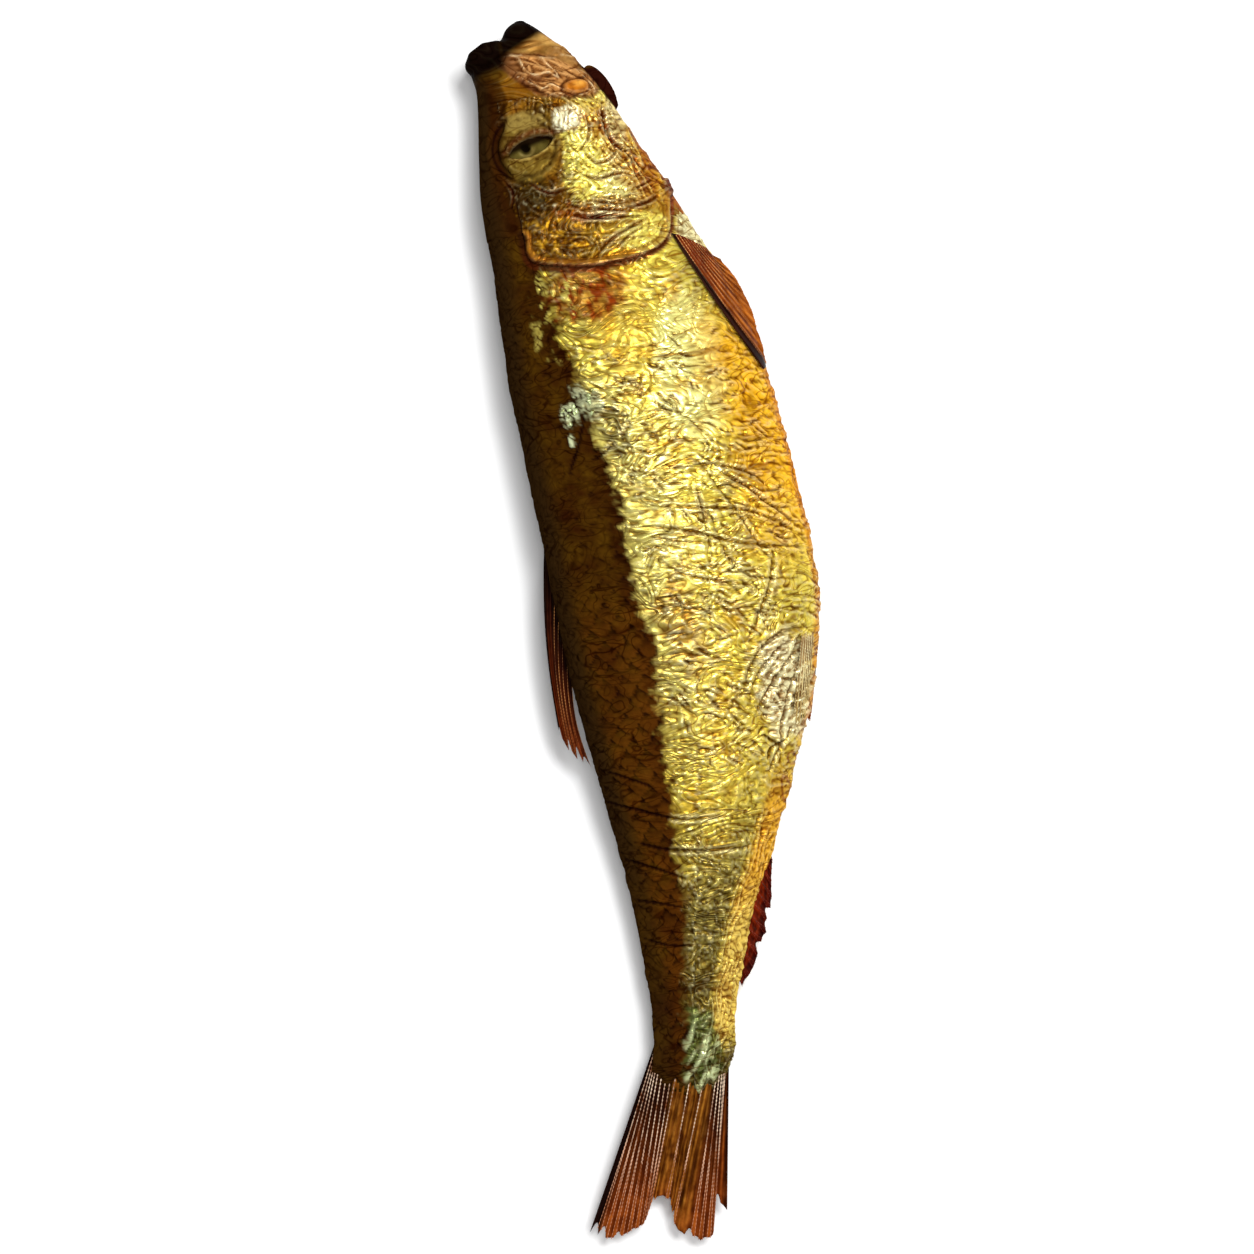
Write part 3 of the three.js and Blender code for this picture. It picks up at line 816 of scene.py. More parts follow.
def head_field():
    """The head as one field: the smooth form, the open mouth, the upper lip, the lower jaw and the far plate."""
    mid = middle_height(8)
    field = loft_field()
    gape = ball_field((5.4, -10.8, mid + 1.6), (3.9, 3.0, 4.3), -57)
    gullet = ball_field((12, -3, mid), (11, 2.6, 4.6), 36)
    field = cut(field, np.minimum(gape, gullet), 0.8)
    lip = limb_field([
        (5.6, -6.8, mid + 4.4, 1.3), (5.9, -9.6, mid + 4.6, 1.5), (7.6, -12.4, mid + 3.8, 1.7),
        (9.4, -13.4, mid + 1.4, 1.7), (9.4, -13.4, mid - 1.5, 1.7), (7.4, -12.0, mid - 3.6, 1.6),
        (5.6, -9.0, mid - 4.6, 1.3), (5.4, -6.4, mid - 4.4, 1.2),
    ])
    field = merge(field, lip, 1.0)
    jaw = limb_field([
        (4.3, -0.6, mid + 1.4, 4.0), (6.5, 1.2, mid + 1.4, 4.5), (12, 6, mid + 1.2, 5.6),
        (20, 10.5, mid + 0.5, 6.6),
    ])
    field = merge(field, jaw, 1.2)
    far_plate = ball_field((19, 17.6, mid - 2.4), (6.6, 2.6, 2.2), 25)
    return merge(field, far_plate, 0.8)


JAW_PLATE = [
    (8, -4.2), (8.8, 0.2), (9.9, 5.4), (12.6, 10.2), (17, 15.7), (20.1, 16.4), (21.9, 14.4), (21.5, 10.4),
    (20.6, 6), (19.5, 2.1), (15.9, -1.9), (12.3, -5.4), (10.1, -6.8),
]
PLATE_RIM = smooth_line(JAW_PLATE + JAW_PLATE[:1], 6)
PLATE_FOLDS = [
    smooth_line([(10.2, -5.6), (11.4, 0), (14.2, 5.6), (16.2, 11)]),
    smooth_line([(14.6, -3), (18.6, 2.8), (22, 8.4), (26.4, 13)]),
    smooth_line([(9.4, -2), (10.6, 3.4), (13.2, 8.6), (17.4, 14)]),
    smooth_line([(12.8, -4), (15, 1), (16.4, 5.4)]),
]
PORE_LINES = [
    smooth_line([(22.5, 1.5), (25.6, 3.8), (31, 5.8), (36, 5.9), (41.7, 3.6), (46, 1)]),
    smooth_line([(23.5, -0.5), (27.5, 3.2), (31.5, 7.2), (37, 8.2), (42.5, 6.6)]),
    smooth_line([(44, -8), (47, -4), (48, 1), (47.4, 6)]), smooth_line([(22, -8.4), (25.5, -9), (28, -9.8)]),
    smooth_line([(40, -12), (46, -11.4), (52, -9.4)]),
]
CHEEK_FOLDS = [
    (smooth_line([(50.6, 4.5), (52, 10), (52.6, 15), (53.4, 22)]), 0.45, 0.9),
    (smooth_line([(49.4, 8), (50.4, 13), (51.4, 19)]), 0.3, 0.5),
    (smooth_line([(47.8, 10), (48.8, 14), (50, 18.6)]), 0.3, 0.45),
    (smooth_line([(50.8, 19), (50.2, 24), (48.2, 28)]), 0.35, 0.6),
    (smooth_line([(46.4, 22), (44.4, 26.4)]), 0.3, 0.4),
    (smooth_line([(63, 9), (58.5, 14), (55.6, 20), (53.8, 24.5)]), 0.35, 0.6),
    (smooth_line([(61.6, 14), (58, 18.6), (56, 23)]), 0.3, 0.4),
    (smooth_line([(37, -11), (43, -8), (47.5, -9)]), 0.3, 0.4),
    (smooth_line([(41, -4), (44.6, 1), (44, 7)]), 0.3, 0.4),
    (smooth_line([(22, 17.2), (27, 16.8), (33, 17.8), (38, 22), (45.2, 27.2)]), 0.4, 0.7),
    (smooth_line([(34, 10), (38.5, 13.4), (37.6, 17.6), (33.8, 18.8)]), 0.32, 0.5),
    (smooth_line([(40, 8), (42.6, 13), (42, 19), (44, 24)]), 0.32, 0.5),
    (smooth_line([(24, 12.5), (28.5, 13), (33, 12), (36, 8.5)]), 0.3, 0.4),
]
EYE_ENDS = (33.9, -7.6), (31.0, 3.8)


def head_mesh(material):
    """The head's field as a mesh whose faces point out."""
    field = np.clip(head_field(), -BAND * VOXEL, BAND * VOXEL)
    grid = openvdb.FloatGrid(BAND * VOXEL)
    grid.transform = openvdb.createLinearTransform(voxelSize=VOXEL)
    grid.copyFromArray(field, ijk=FIELD_FIRST)
    points, tris, quads = grid.convertToPolygons(isovalue=0.0, adaptivity=0.0)
    points = np.asarray(points, float)
    placed = place(-points[:, 1], points[:, 0], points[:, 2])
    faces = np.asarray(quads)[:, ::-1].tolist() + np.asarray(tris)[:, ::-1].tolist()
    obj = make_mesh("head_skin", placed, faces, material)
    centre = placed.mean(axis=0)
    outward = ((placed - centre) * normals_of(obj.data)).sum(axis=1)
    if np.median(outward) < 0:
        obj.data.flip_normals()
    return obj


GILL_LINE = smooth_line(GILL_EDGE)
GILL_OUTLINE = np.vstack([GILL_LINE, [(20, 30.4), (20, -8.5)]])


def eye_opening(s, t):
    """Distance from the opening between the lids, under 0 inside it, and the places along and across it."""
    (s0, t0), (s1, t1) = EYE_ENDS
    half = math.hypot(s1 - s0, t1 - t0) / 2
    ds, dt = (s1 - s0) / (2 * half), (t1 - t0) / (2 * half)
    along = (s - (s0 + s1) / 2) * ds + (t - (t0 + t1) / 2) * dt
    across = (s - (s0 + s1) / 2) * dt - (t - (t0 + t1) / 2) * ds
    tall = np.clip(1 - (along / half) ** 2, 0, 1) ** 0.75 * np.where(across > 0, 2.1, 2.0)
    away = np.where(np.abs(along) < half, np.abs(across) - tall, np.hypot(across, np.abs(along) - half))
    return away, along, across


def pores(s, t, line):
    """Distance to a line of pores, their beading along it and how it comes and goes."""
    d, along = line_distance(s, t, line, 3)
    return d, np.sin(along * 38 + 7 * swell(s / 3, t / 3, 220)), swell(s / 2.5, t / 2.5, 222)


def lid_wrinkles(s, t, along, across):
    """Wrinkles over the upper lid, -1 to 1."""
    return np.sin(2.9 * along + 1.2 * across + 4 * swell(s / 2, t / 2, 221))


def plate_mask(s, t):
    """1 on the near jaw plate, 0 off it, and the distance from its rim."""
    d, _ = line_distance(s, t, PLATE_RIM, 4)
    signed = np.where(inside(s, t, PLATE_RIM), -d, d) + 0.5 * swell(s / 2, t / 2, 210)
    beside = spot(s, t, (12.5, 9), (6, 5.5), 0.4, 42)
    return np.maximum(ramp(signed, 0.9, -0.7), 0.6 * beside), d


def throat_lines(s, t):
    """The thin folds that run along the throat, 0 to 1, and where they show."""
    from_belly = belly(s) - t
    where = ramp(from_belly, 13, 8) * ramp(from_belly, -0.5, 1) * ramp(s, 20, 27) * ramp(s, 54, 44)
    return folds(from_belly / 1.9 + 0.8 * swell(s / 8, t / 8, 215), (s + 0.6 * t) / 16, 216), where


def head_wrinkles(s, t, gill):
    """The fine unevenness of the head, calmer round the eye and along the gill cover's edge."""
    height = 0.25 * swell(s / 9, t / 9, 201) + 0.1 * swell(s / 2.4, t / 2.4, 202)
    calm = 1 - 0.6 * ramp(np.hypot(s - EYE[0], t - EYE[1]), 12, 8.5) * ramp(t, 6, 4)
    height += 0.24 * calm * nested(s / 7, t / 7, 204, 3.0)
    height += 0.16 * calm * folds(s / 1.9, t / 1.9, 205) * np.clip(0.8 + swell(s / 8, t / 8, 206), 0, 1.5)
    height += 0.2 * spot(s, t, (37, 15), (17, 9), 0.25, 21) * nested(s / 5.6, t / 5.6, 207, 2.4)
    return height * (0.3 + 0.7 * ramp(gill, 0.8, 2.6))


def add_lids(height, s, t):
    """Lids, the opening between them, and the ring and furrow of the socket."""
    eye = np.hypot(s - EYE[0], t - EYE[1])
    away, along, across = eye_opening(s, t)
    ring = np.clip(0.5 + 0.9 * swell(s / 3.5, t / 3.5, 208), 0, 1)
    height += 0.4 * ring * bell(eye, 0.6, 8.2) * ramp(t, -9, -4)
    height += 0.3 * (1 - ring) * bell(eye, 0.4, 6.2) * ramp(across, 0, 2)
    height += 0.5 * bell(eye, 0.7, 9.6) * ramp(t, -4, -8)
    height -= 1.0 * bell(eye, 1.0, 8.0) * ramp(t, -6, -9)
    height -= 2.6 * ramp(away, 0.2, -0.6)
    upper = ramp(across, 0, -1) * bell(away, 0.9, 1.3)
    height += upper * (0.4 + 0.07 * lid_wrinkles(s, t, along, across))
    height += 0.3 * bell(away, 0.35, 0.5) * ramp(across, -0.5, 1)
    return height


def add_plate_and_folds(height, s, t):
    """The jaw plate with its blister, the lines of pores, and the folds of the cheek and throat."""
    on_plate, rim = plate_mask(s, t)
    height += on_plate * (0.15 + 0.6 * plate_folds(s, t) * ramp(rim, 0, 1.6))
    for line in PLATE_FOLDS:
        d, along = line_distance(s, t, line, 4)
        height += 0.5 * bell(d, 0.45) * tapered(along, 0.03, 0.5)
    height += (1.5 - height) * 0.9 * spot(s, t, (18.9, 11.1), (1.8, 3.1))
    for line in PORE_LINES:
        d, bead, patchy = pores(s, t, line)
        height += 0.22 * bell(d, 0.5) * ramp(bead, -0.2, 0.9) * ramp(patchy, -0.4, 0.3)
    for line, width, depth in CHEEK_FOLDS:
        d, along = line_distance(s, t, line, 4)
        height += groove(d, width, depth) * tapered(along, 0.02)
    height += 0.3 * spot(s, t, (49, 14), (4.5, 11)) * folds(s / 1.3, t / 6, 213)
    lines, where = throat_lines(s, t)
    height += 0.5 * where * lines
    height += 0.8 * spot(s, t, (46.6, 30), (2.4, 1.6))
    return height


def head_relief(s, t):
    """Height of the head's skin over the smooth form. Behind the gill cover it drops under the trunk's."""
    gill, _ = line_distance(s, t, GILL_LINE, 14)
    in_cover = inside(s, t, GILL_OUTLINE)
    ends = ramp(t, -8, -5) * ramp(t, 31, 28)
    lip = 0.9 * np.exp(-gill / 7) * ends - 0.3 * bell(gill, 0.6, 2.0) * ends
    nape = GILL_DROP * ramp(s, HEAD_END, HEAD_END + 4)
    behind = np.maximum(GILL_DROP * ramp(gill, 0.0, 0.9), nape)
    drop = np.where((t > -6.9) & (t < 30.4) & (s > 45), behind, nape)
    height = np.where(in_cover, head_wrinkles(s, t, gill) + lip, -drop)
    height = add_plate_and_folds(add_lids(height, s, t), s, t)
    neck = ramp(s, 42, 50) * ramp(t, -4, -8)
    return height + np.where(in_cover, 0.35 * neck * folds(s / 3, t / 3, 217), 0)


HEAD_OLIVE = srgb(112, 84, 22)
HEAD_AMBER = srgb(128, 80, 14)
CHEEK_GOLD = srgb(250, 234, 104)
CHEEK_HIGHLIGHT = srgb(254, 250, 206)
SNOUT_BLACK = srgb(15, 6, 3)
JAW_GOLD = srgb(188, 142, 72)
BAND_PALE = srgb(186, 132, 74)
BLOB_ORANGE = srgb(178, 104, 24)
THROAT_GOLD = srgb(214, 152, 40)
THROAT_RUST = srgb(140, 62, 10)
COVER_GOLD = srgb(186, 146, 44)
LID_OLIVE = srgb(112, 94, 36)
LID_BROWN = srgb(92, 48, 20)
MOUTH_RED = srgb(64, 16, 8)


def cheek_colour(s, t, wander, fine):
    """Ground colour and foil share of the head: olive and amber, with a gold cheek and gill cover."""
    cheek = spot(s, t, (37, 15), (19, 9.5), 0.25, 21)
    dusk = spot(s, t, (46, -5.5), (7.5, 8.5), 0.5, 26)
    cover = ramp(s, 46, 54) * (inside(s, t, GILL_OUTLINE) & (s > 40))
    colour = paint(plain(HEAD_OLIVE, s), [
        (HEAD_AMBER, 0.5 + wander),
        (CHEEK_GOLD, cheek),
        # painted highlights on the cheek
        (CHEEK_HIGHLIGHT, 0.95 * spot(s, t, (26.6, 8.4), (3.6, 4.0), 0.5, 23)),
        (CHEEK_HIGHLIGHT, 0.25 * spot(s, t, (44, 19), (7, 5), 0.9, 24)),
        (srgb(52, 34, 6), 0.9 * dusk),
        (GOLD_DEEP, 0.5 * dusk * ramp(fine, 0.3, 0.5)),
        (srgb(92, 56, 8), cover * ramp(t, -7, -4)),
        (COVER_GOLD, cover * ramp(t + 3 * wander, 5, 17)),
        (CHEEK_GOLD, 0.9 * spot(s, t, (57, 23), (5.5, 7), 0.3, 25)),
        (GOLD_DEEP, 0.7 * cover * ramp(fine, -0.1, 0.5)),
    ])
    return colour, np.maximum(0.35 + 0.5 * cheek, 0.7 * cover * ramp(t, 4, 14))


def paint_throat(colour, s, t, fine):
    """The gold and rust folds of the throat, its dark edge and the dark root of the pectoral fin."""
    lines, where = throat_lines(s, t)
    edge = ramp(belly(s) - t, 1.6, 0.4) * ramp(s, 22, 26)
    return paint(colour, [
        (THROAT_GOLD, 0.8 * where),
        (THROAT_RUST, 0.85 * where * ramp(lines, 0.35, 0.0) * ramp(fine, -0.6, 0.2)),
        (srgb(240, 206, 84), 0.55 * where * ramp(lines, 0.5, 0.95)),
        (srgb(150, 78, 20), 0.85 * edge),
        (srgb(232, 214, 140), 0.8 * spot(s, t, (27, 20), (7, 2.6), 0.3, 28)),
        (srgb(92, 26, 10), 0.9 * spot(s, t, (46.8, 30), (2.6, 1.8), 0.2, 29)),
        (THROAT_RUST, 0.55 * spot(s, t, (50, 13), (3.0, 10), 0.7, 27)),
    ])


def paint_plate(colour, s, t, wander, fine):
    """The pale creased jaw plate and the orange blister on it, with painted highlights on the plate's fold tops
    and on the blister, and painted shade at the blister's tail-side edge.
    """
    on_plate, rim = plate_mask(s, t)
    behind = s - 0.3 * t
    blister = spot(s, t, (18.9, 11.1), (1.9, 3.2))
    blister_rim = np.hypot((s - 18.9) / 2.1, (t - 11.1) / 3.5)
    return paint(colour, [
        (BAND_PALE, 0.95 * on_plate),
        (srgb(86, 34, 10), 0.75 * on_plate * ramp(wander + 0.8 * fine, 0.0, 0.5)),
        (srgb(84, 32, 10), 0.7 * on_plate * ramp(t, 2, -4)),
        # painted highlight on the tops of the plate's folds
        (srgb(250, 222, 170), 0.6 * on_plate * ramp(plate_folds(s, t), 0.5, 0.95) * ramp(fine, -0.4, 0.2)),
        (srgb(84, 32, 12), 0.6 * bell(rim, 0.45) * ramp(behind, 8, 14)),
        (BLOB_ORANGE, blister),
        # painted highlight on the blister, off its middle towards the head
        (srgb(240, 176, 78), 0.6 * ramp(np.hypot((s - 18.4) / 1.2, (t - 11.9) / 2.1), 1.1, 0.1)),
        (srgb(116, 56, 14), 0.6 * blister * ramp(fine, 0.0, 0.5)),
        # painted shade along the blister's edge on the tail side
        (srgb(100, 40, 12), 0.8 * ramp(np.abs(blister_rim - 1), 0.18, 0.04) * ramp(behind, 14, 16.5)),
    ])


def paint_lids(colour, s, t, eye, wander, fine):
    """The olive socket and the brown upper lid, with painted highlight on the lid's wrinkles and painted shade
    along the upper edge of the opening.
    """
    away, along, across = eye_opening(s, t)
    upper = ramp(across, 0, -1) * bell(away, 1.1, 1.3)
    return paint(colour, [
        (LID_OLIVE, ramp(eye, 9.8, 6.8) * (0.7 + 0.5 * wander)),
        (srgb(176, 152, 74), 0.5 * ramp(eye, 9, 7) * ramp(fine, 0.05, 0.5)),
        (srgb(58, 36, 8), 0.6 * bell(eye, 0.5, 7.3) * ramp(t, -10, -3)),
        (srgb(150, 126, 62), 0.7 * spot(s, t, (25.5, -3), (2.6, 5.5), 0.3, 30)),
        (SNOUT_BLACK, 0.85 * bell(eye, 1.0, 8.2) * ramp(t, -7, -9.5)),
        (LID_BROWN, 0.9 * upper),
        # painted highlight on the tops of the lid's wrinkles
        (srgb(190, 160, 96), 0.2 * upper * ramp(lid_wrinkles(s, t, along, across), 0.4, 1)),
        # painted shade under the edge of the upper lid
        (DARK_LINE, 0.95 * bell(away, 0.65) * ramp(across, 1.2, -0.8)),
        (srgb(170, 140, 60), 0.6 * bell(away, 0.35, 0.5) * ramp(across, 0, 1.5)),
    ])


def head_colour(s, t):
    """Colour and foil share of the head's skin."""
    wander = swell(s / 7, t / 7, 301)
    fine = swell(s / 1.8, t / 1.8, 302)
    eye = np.hypot(s - EYE[0], t - EYE[1])
    on_plate, _ = plate_mask(s, t)
    colour, foil = cheek_colour(s, t, wander, fine)
    colour = paint_throat(colour, s, t, fine)
    # painted shade along the cheek's folds, deeper where the groove is deeper
    for line, width, depth in CHEEK_FOLDS:
        d, along = line_distance(s, t, line, 3)
        fold_shade = depth * bell(d, 1.5 * width) * tapered(along)
        colour = blend(colour, srgb(112, 40, 12), 1.3 * fold_shade)
    colour = paint_plate(colour, s, t, wander, fine)
    colour = paint_lids(colour, s, t, eye, wander, fine)
    for line in PORE_LINES:
        d, bead, patchy = pores(s, t, line)
        bead_glints = ramp(bead, 0.1, 0.9) * ramp(patchy, -0.3, 0.3)
        colour = blend(colour, DARK_LINE, 0.4 * bell(d, 0.5, 0.8))
        # painted glints on the beads of the pore lines
        colour = blend(colour, CHEEK_HIGHLIGHT, 0.4 * bell(d, 0.35) * bead_glints * ramp(t, -7, -3))

    nape = np.maximum(ramp(s, 36, 50) * ramp(t, -3, -9), ramp(s, 12, 18) * ramp(t, -6, -10.5))
    ridge = ramp(t - back(s), 4.2 + 3.4 * ramp(s, 28, 50), 1.6) * ramp(s, 10, 16)
    snout = ramp(s + 0.25 * (t + 14), 17, 12) * ramp(t, -3, -6.5)
    jaw = ramp(s, 12, 6) * ramp(t, -5, -2)
    tip = ramp(s + 0.5 * (t - 2), 7.0, 4.0) * ramp(t, -7, -5)
    far_plate = ramp(belly(s) - t, 0.3, -0.4) * ramp(s, 12, 14) * ramp(s, 28, 25)
    colour = paint(colour, [
        (BACK_BROWN, 0.9 * nape),
        (BACK_BROWN, 0.75 * spot(s, t, (20, -9.5), (8, 3.4), 0.3, 39)),
        (RIDGE_BLACK, ridge),
        (SNOUT_BLACK, snout),
        (JAW_GOLD, jaw * (1 - on_plate)),
        (SNOUT_BLACK, tip),
        (srgb(40, 12, 6), far_plate),
    ])
    foil = foil * (1 - 0.7 * on_plate) * (1 - 0.7 * ramp(eye, 12, 9)) * (1 - nape) * (1 - ridge)
    black = np.maximum(snout, tip)
    return colour, foil * (1 - np.maximum(black, far_plate)) + 0.1 * black


def head(material):
    obj = head_mesh(material)
    s, t, z = unplace(points_of(obj.data))
    side = np.where(z >= middle_height(s), 1, -1)
    under_skin = flank_rise(s, t) - np.abs(z - middle_height(s))
    facing_out = ramp(normals_of(obj.data)[:, 2] * side, -0.15, 0.3)
    outer = np.clip(facing_out * ramp(under_skin, 2.2, 1.0), 0, 1)
    heights = head_relief(s, t) * np.where(s > 40, 1, outer)
    colour, foil = head_colour(s, t)
    # painted shade in the hollows of the relief and painted highlight on its tops
    colour = paint_fold_shade_and_highlights(colour, hollows(obj.data, np.maximum(heights, -0.5), 7), foil, 0.1)
    colour = gill_shade(colour, s, t)
    within = ramp(under_skin, 0.9, 1.8) * ramp(s, 24, 20)
    colour = blend(colour, MOUTH_RED, within * ramp(t, 0, -4))
    raise_skin(obj.data, heights)
    store(obj.data, "colour", colour)
    store(obj.data, "foil", foil * (1 - within))
    set_points(obj.data, rest_on_floor(points_of(obj.data)))
    return obj


def eyeballs(material):
    """Two flattened balls under the lids, each with a dark pupil in a cloudy olive iris, painted shade over the
    part under the upper lid and a painted highlight ring round the pupil's lower side.
    """
    made = []
    for side, name in ((1, "eye_right"), (-1, "eye_left")):
        rings, count = 40, 64
        angle = np.linspace(0, math.pi, rings + 1)[1:-1]
        turn = np.linspace(0, 2 * math.pi, count, endpoint=False)
        skin = middle_height(EYE[0]) + side * flank_rise(EYE[0], EYE[1])
        flat = 0.72
        centre_z = skin + side * (-0.25 - EYE_RADIUS * flat)
        s = EYE[0] + EYE_RADIUS * 1.08 * np.outer(np.sin(angle), np.sin(turn))
        t = EYE[1] + EYE_RADIUS * 1.08 * np.outer(np.sin(angle), np.cos(turn))
        z = centre_z + EYE_RADIUS * flat * np.outer(np.cos(angle), np.ones(count))
        points = place(s, t, z).reshape(-1, 3)
        poles = [place(EYE[0], EYE[1], centre_z + e * EYE_RADIUS * flat) for e in (1, -1)]
        obj = make_mesh(name, np.vstack([points, poles]), grid_faces(rings - 1, count), material)
        s, t, _ = unplace(points_of(obj.data))
        _, _, across = eye_opening(s, t)
        pupil = np.hypot(s - 32.7, t + 3.2)
        store(obj.data, "colour", paint(plain(srgb(90, 78, 32), s), [
            # painted shade where the upper lid overhangs the ball
            (srgb(24, 14, 5), ramp(across, 0.6, -0.9)),
            # painted highlight in a ring round the pupil, on its lower side
            (srgb(172, 154, 92), 0.4 * ramp(np.abs(pupil - 1.8), 0.6, 0.1) * ramp(across, -0.5, 1)),
            (srgb(12, 7, 2), ramp(pupil, 1.6, 1.0)),
        ]))
        made.append(obj)
    return made


# ---------------------------------------------------------------- fins
def in_middle(s, t):
    """Height of a fin that stands out in the middle plane."""
    return middle_height(s)


def on_flank(side, lift):
    """Heights for a fin that lies along a flank, lifted off its smooth form."""
    return lambda s, t: middle_height(s) + side * (flank_rise(s, t) + lift)


def spaced(points, count):
    """Places evenly spaced along a smooth line."""
    line = smooth_line(points, 24)
    run = np.concatenate([[0], np.cumsum(np.hypot(*np.diff(line, axis=0).T))])
    f = np.linspace(0, run[-1], count)
    return np.stack([np.interp(f, run, line[:, k]) for k in (0, 1)], axis=-1)


PER_RAY = 6  # columns of a web's mesh from one ray to the next


def ray_lines(path, rays, skip, stop, bare, rng):
    """Lines of the rays over a web, each forking on its way out, with thickness and share of the way."""
    rows, columns = path.shape[:2]
    lines, edges, thickness, shares = [], [], [], []
    for ray in range(skip, rays + 1 - stop):
        c = ray * PER_RAY
        if bare and bare[0] < ray / rays < bare[1] and ray % 3:
            continue
        for branch in (-1, 1):
            start = rng.integers(0, 3) if branch < 0 else int(rows * 0.4)
            fork = np.clip(np.arange(start, rows) / rows - 0.4, 0, 1) * 2.4 * branch
            at = np.clip(c + fork, 0, columns - 1)
            lowc, f = np.floor(at).astype(int), at % 1
            highc = np.minimum(lowc + 1, columns - 1)
            r = np.arange(start, rows)
            pts = path[r, lowc] * (1 - f)[:, None] + path[r, highc] * f[:, None]
            first = len(lines)
            lines += pts.tolist()
            edges += [(first + k, first + k + 1) for k in range(len(pts) - 1)]
            slim = 0.65 if ray > 0.8 * rays else 1.0
            thickness += (slim * (1.0 - 0.5 * np.arange(start, rows) / rows)).tolist()
            shares += (np.arange(start, rows) / rows).tolist()
    return lines, edges, thickness, shares


def fin_web(name, root, tip, rays, height_at, material, root_colour, tip_colour, edge_colour, seed,
            ragged=0.06, split=0.1, bow=0.0, ripple=0.22, thick=0.22, rows=60, skip=0, stop=0,
            edge=(0, 0.03), middle=None, bare=None):
    """The thin web of a fin as a closed sheet, and the rays that run through it as lines."""
    rng = np.random.default_rng(seed)
    columns = rays * PER_RAY + 1
    column = np.arange(columns)
    roots, tips = spaced(root, columns), spaced(tip, columns)
    phase = (column % PER_RAY) / PER_RAY
    between = np.sin(np.pi * phase)
    short = np.interp(column, np.arange(0, columns, PER_RAY), ragged * rng.random(rays + 1))
    tears = np.repeat(rng.random(rays) ** 3, PER_RAY)
    short = short + split * between * np.append(tears, 0)
    reach = np.linspace(0, 1, rows)[:, None] * (1 - short)[None, :]
    s = roots[:, 0] + (tips[:, 0] - roots[:, 0]) * reach
    t = roots[:, 1] + (tips[:, 1] - roots[:, 1]) * reach + bow * np.sin(np.pi * reach)
    across = column / (columns - 1) + 0 * reach
    z = height_at(s, t) + ripple * (np.cos(2 * np.pi * phase)[None, :]) * ramp(reach, 0, 0.15)
    inner = 0 * reach
    if middle is not None:
        inner = ramp(np.abs(across - 0.5), 0.2, 0.12) * ramp(reach, 1.15, 0.75)
    pleat = folds(across * rays * 0.42 + 0.5 * waves(reach * 4, across * 6, seed), reach * 2.5, seed + 1)
    z = z + 0.7 * inner * pleat
    half = thick / 2 * (1.15 - 0.6 * reach)
    upper, lower = place(s, t, z + half), place(s, t, z - half)
    n = rows * columns
    index = np.arange(n).reshape(rows, columns)
    quad = np.stack([index[:-1, :-1], index[1:, :-1], index[1:, 1:], index[:-1, 1:]], axis=-1).reshape(-1, 4)
    rim = np.concatenate([index[0, :], index[1:, -1], index[-1, -2::-1], index[-2:0:-1, 0]])
    wall = np.stack([rim, np.roll(rim, -1), np.roll(rim, -1) + n, rim + n], axis=-1)
    faces = np.vstack([quad, quad[:, ::-1] + n, wall])
    points = np.vstack([upper.reshape(-1, 3), lower.reshape(-1, 3)])
    obj = make_mesh(name, points, faces.tolist(), material)
    if normals_of(obj.data)[:n, 2].mean() < 0:
        obj.data.flip_normals()
    share, over = reach.ravel(), across.ravel()
    blotch = swell(share * 7, over * rays * 0.8, seed)
    colour = blend(plain(root_colour, share), tip_colour, ramp(share + 0.3 * blotch, 0.15, 0.9))
    if middle is not None:
        colour = blend(colour, middle, inner.ravel() * (0.85 + 0.5 * blotch))
    colour = blend(colour, edge_colour, ramp(np.abs(over - edge[0]), edge[1] + 0.03, edge[1]))
    colour = blend(colour, edge_colour, 0.7 * ramp(over, 0.96, 0.99) + 0.5 * blotch)
    gap = ramp(np.tile(between, rows), 0.3, 1)
    colour = blend(colour, colour * SMOKE_AND_SHADE * 1.4, 0.85 * gap * ramp(blotch, -0.7, 0.1))
    streak = folds(over * rays * 0.9 + 0.6 * waves(share * 5, over * 9, seed + 2), share * 1.6, seed + 3)
    colour = blend(colour, colour * SMOKE_AND_SHADE, 0.75 * streak)
    # painted shade in the furrows of the pleated middle
    furrow_shade = 0.8 * inner.ravel() * ramp(pleat.ravel(), 0.35, 0.0) * ramp(blotch, -0.5, 0.2)
    colour = blend(colour, colour * SMOKE_AND_SHADE, furrow_shade)
    store(obj.data, "colour", np.vstack([colour, colour]))
    store(obj.data, "foil", np.full(2 * n, 0.1))

    path = place(s, t, z + half)
    return obj, ray_lines(path, rays, skip, stop, bare, rng)


def new_tree(name, result, inputs):
    """An empty geometry tree with named sockets, and its nodes for what goes in and what comes out."""
    tree = bpy.data.node_groups.new(name, "GeometryNodeTree")
    for socket, kind in inputs:
        tree.interface.new_socket(socket, in_out="INPUT", socket_type="NodeSocket" + kind)
    tree.interface.new_socket(result, in_out="OUTPUT", socket_type="NodeSocketGeometry")
    return tree, tree.nodes.new("NodeGroupInput"), tree.nodes.new("NodeGroupOutput")


def connect(tree, *links):
    """Links from (node, output) to (node, input)."""
    for source, output, target, name in links:
        tree.links.new(source.outputs[output], target.inputs[name])


def point_value(tree, name, kind="FLOAT"):
    """What the points carry under a name."""
    node = tree.nodes.new("GeometryNodeInputNamedAttribute")
    node.data_type = kind
    node.inputs["Name"].default_value = name
    return node.outputs["Attribute"]


def ball(tree, segments, rings, radius):
    node = tree.nodes.new("GeometryNodeMeshUVSphere")
    for name, value in (("Segments", segments), ("Rings", rings), ("Radius", radius)):
        node.inputs[name].default_value = value
    return node


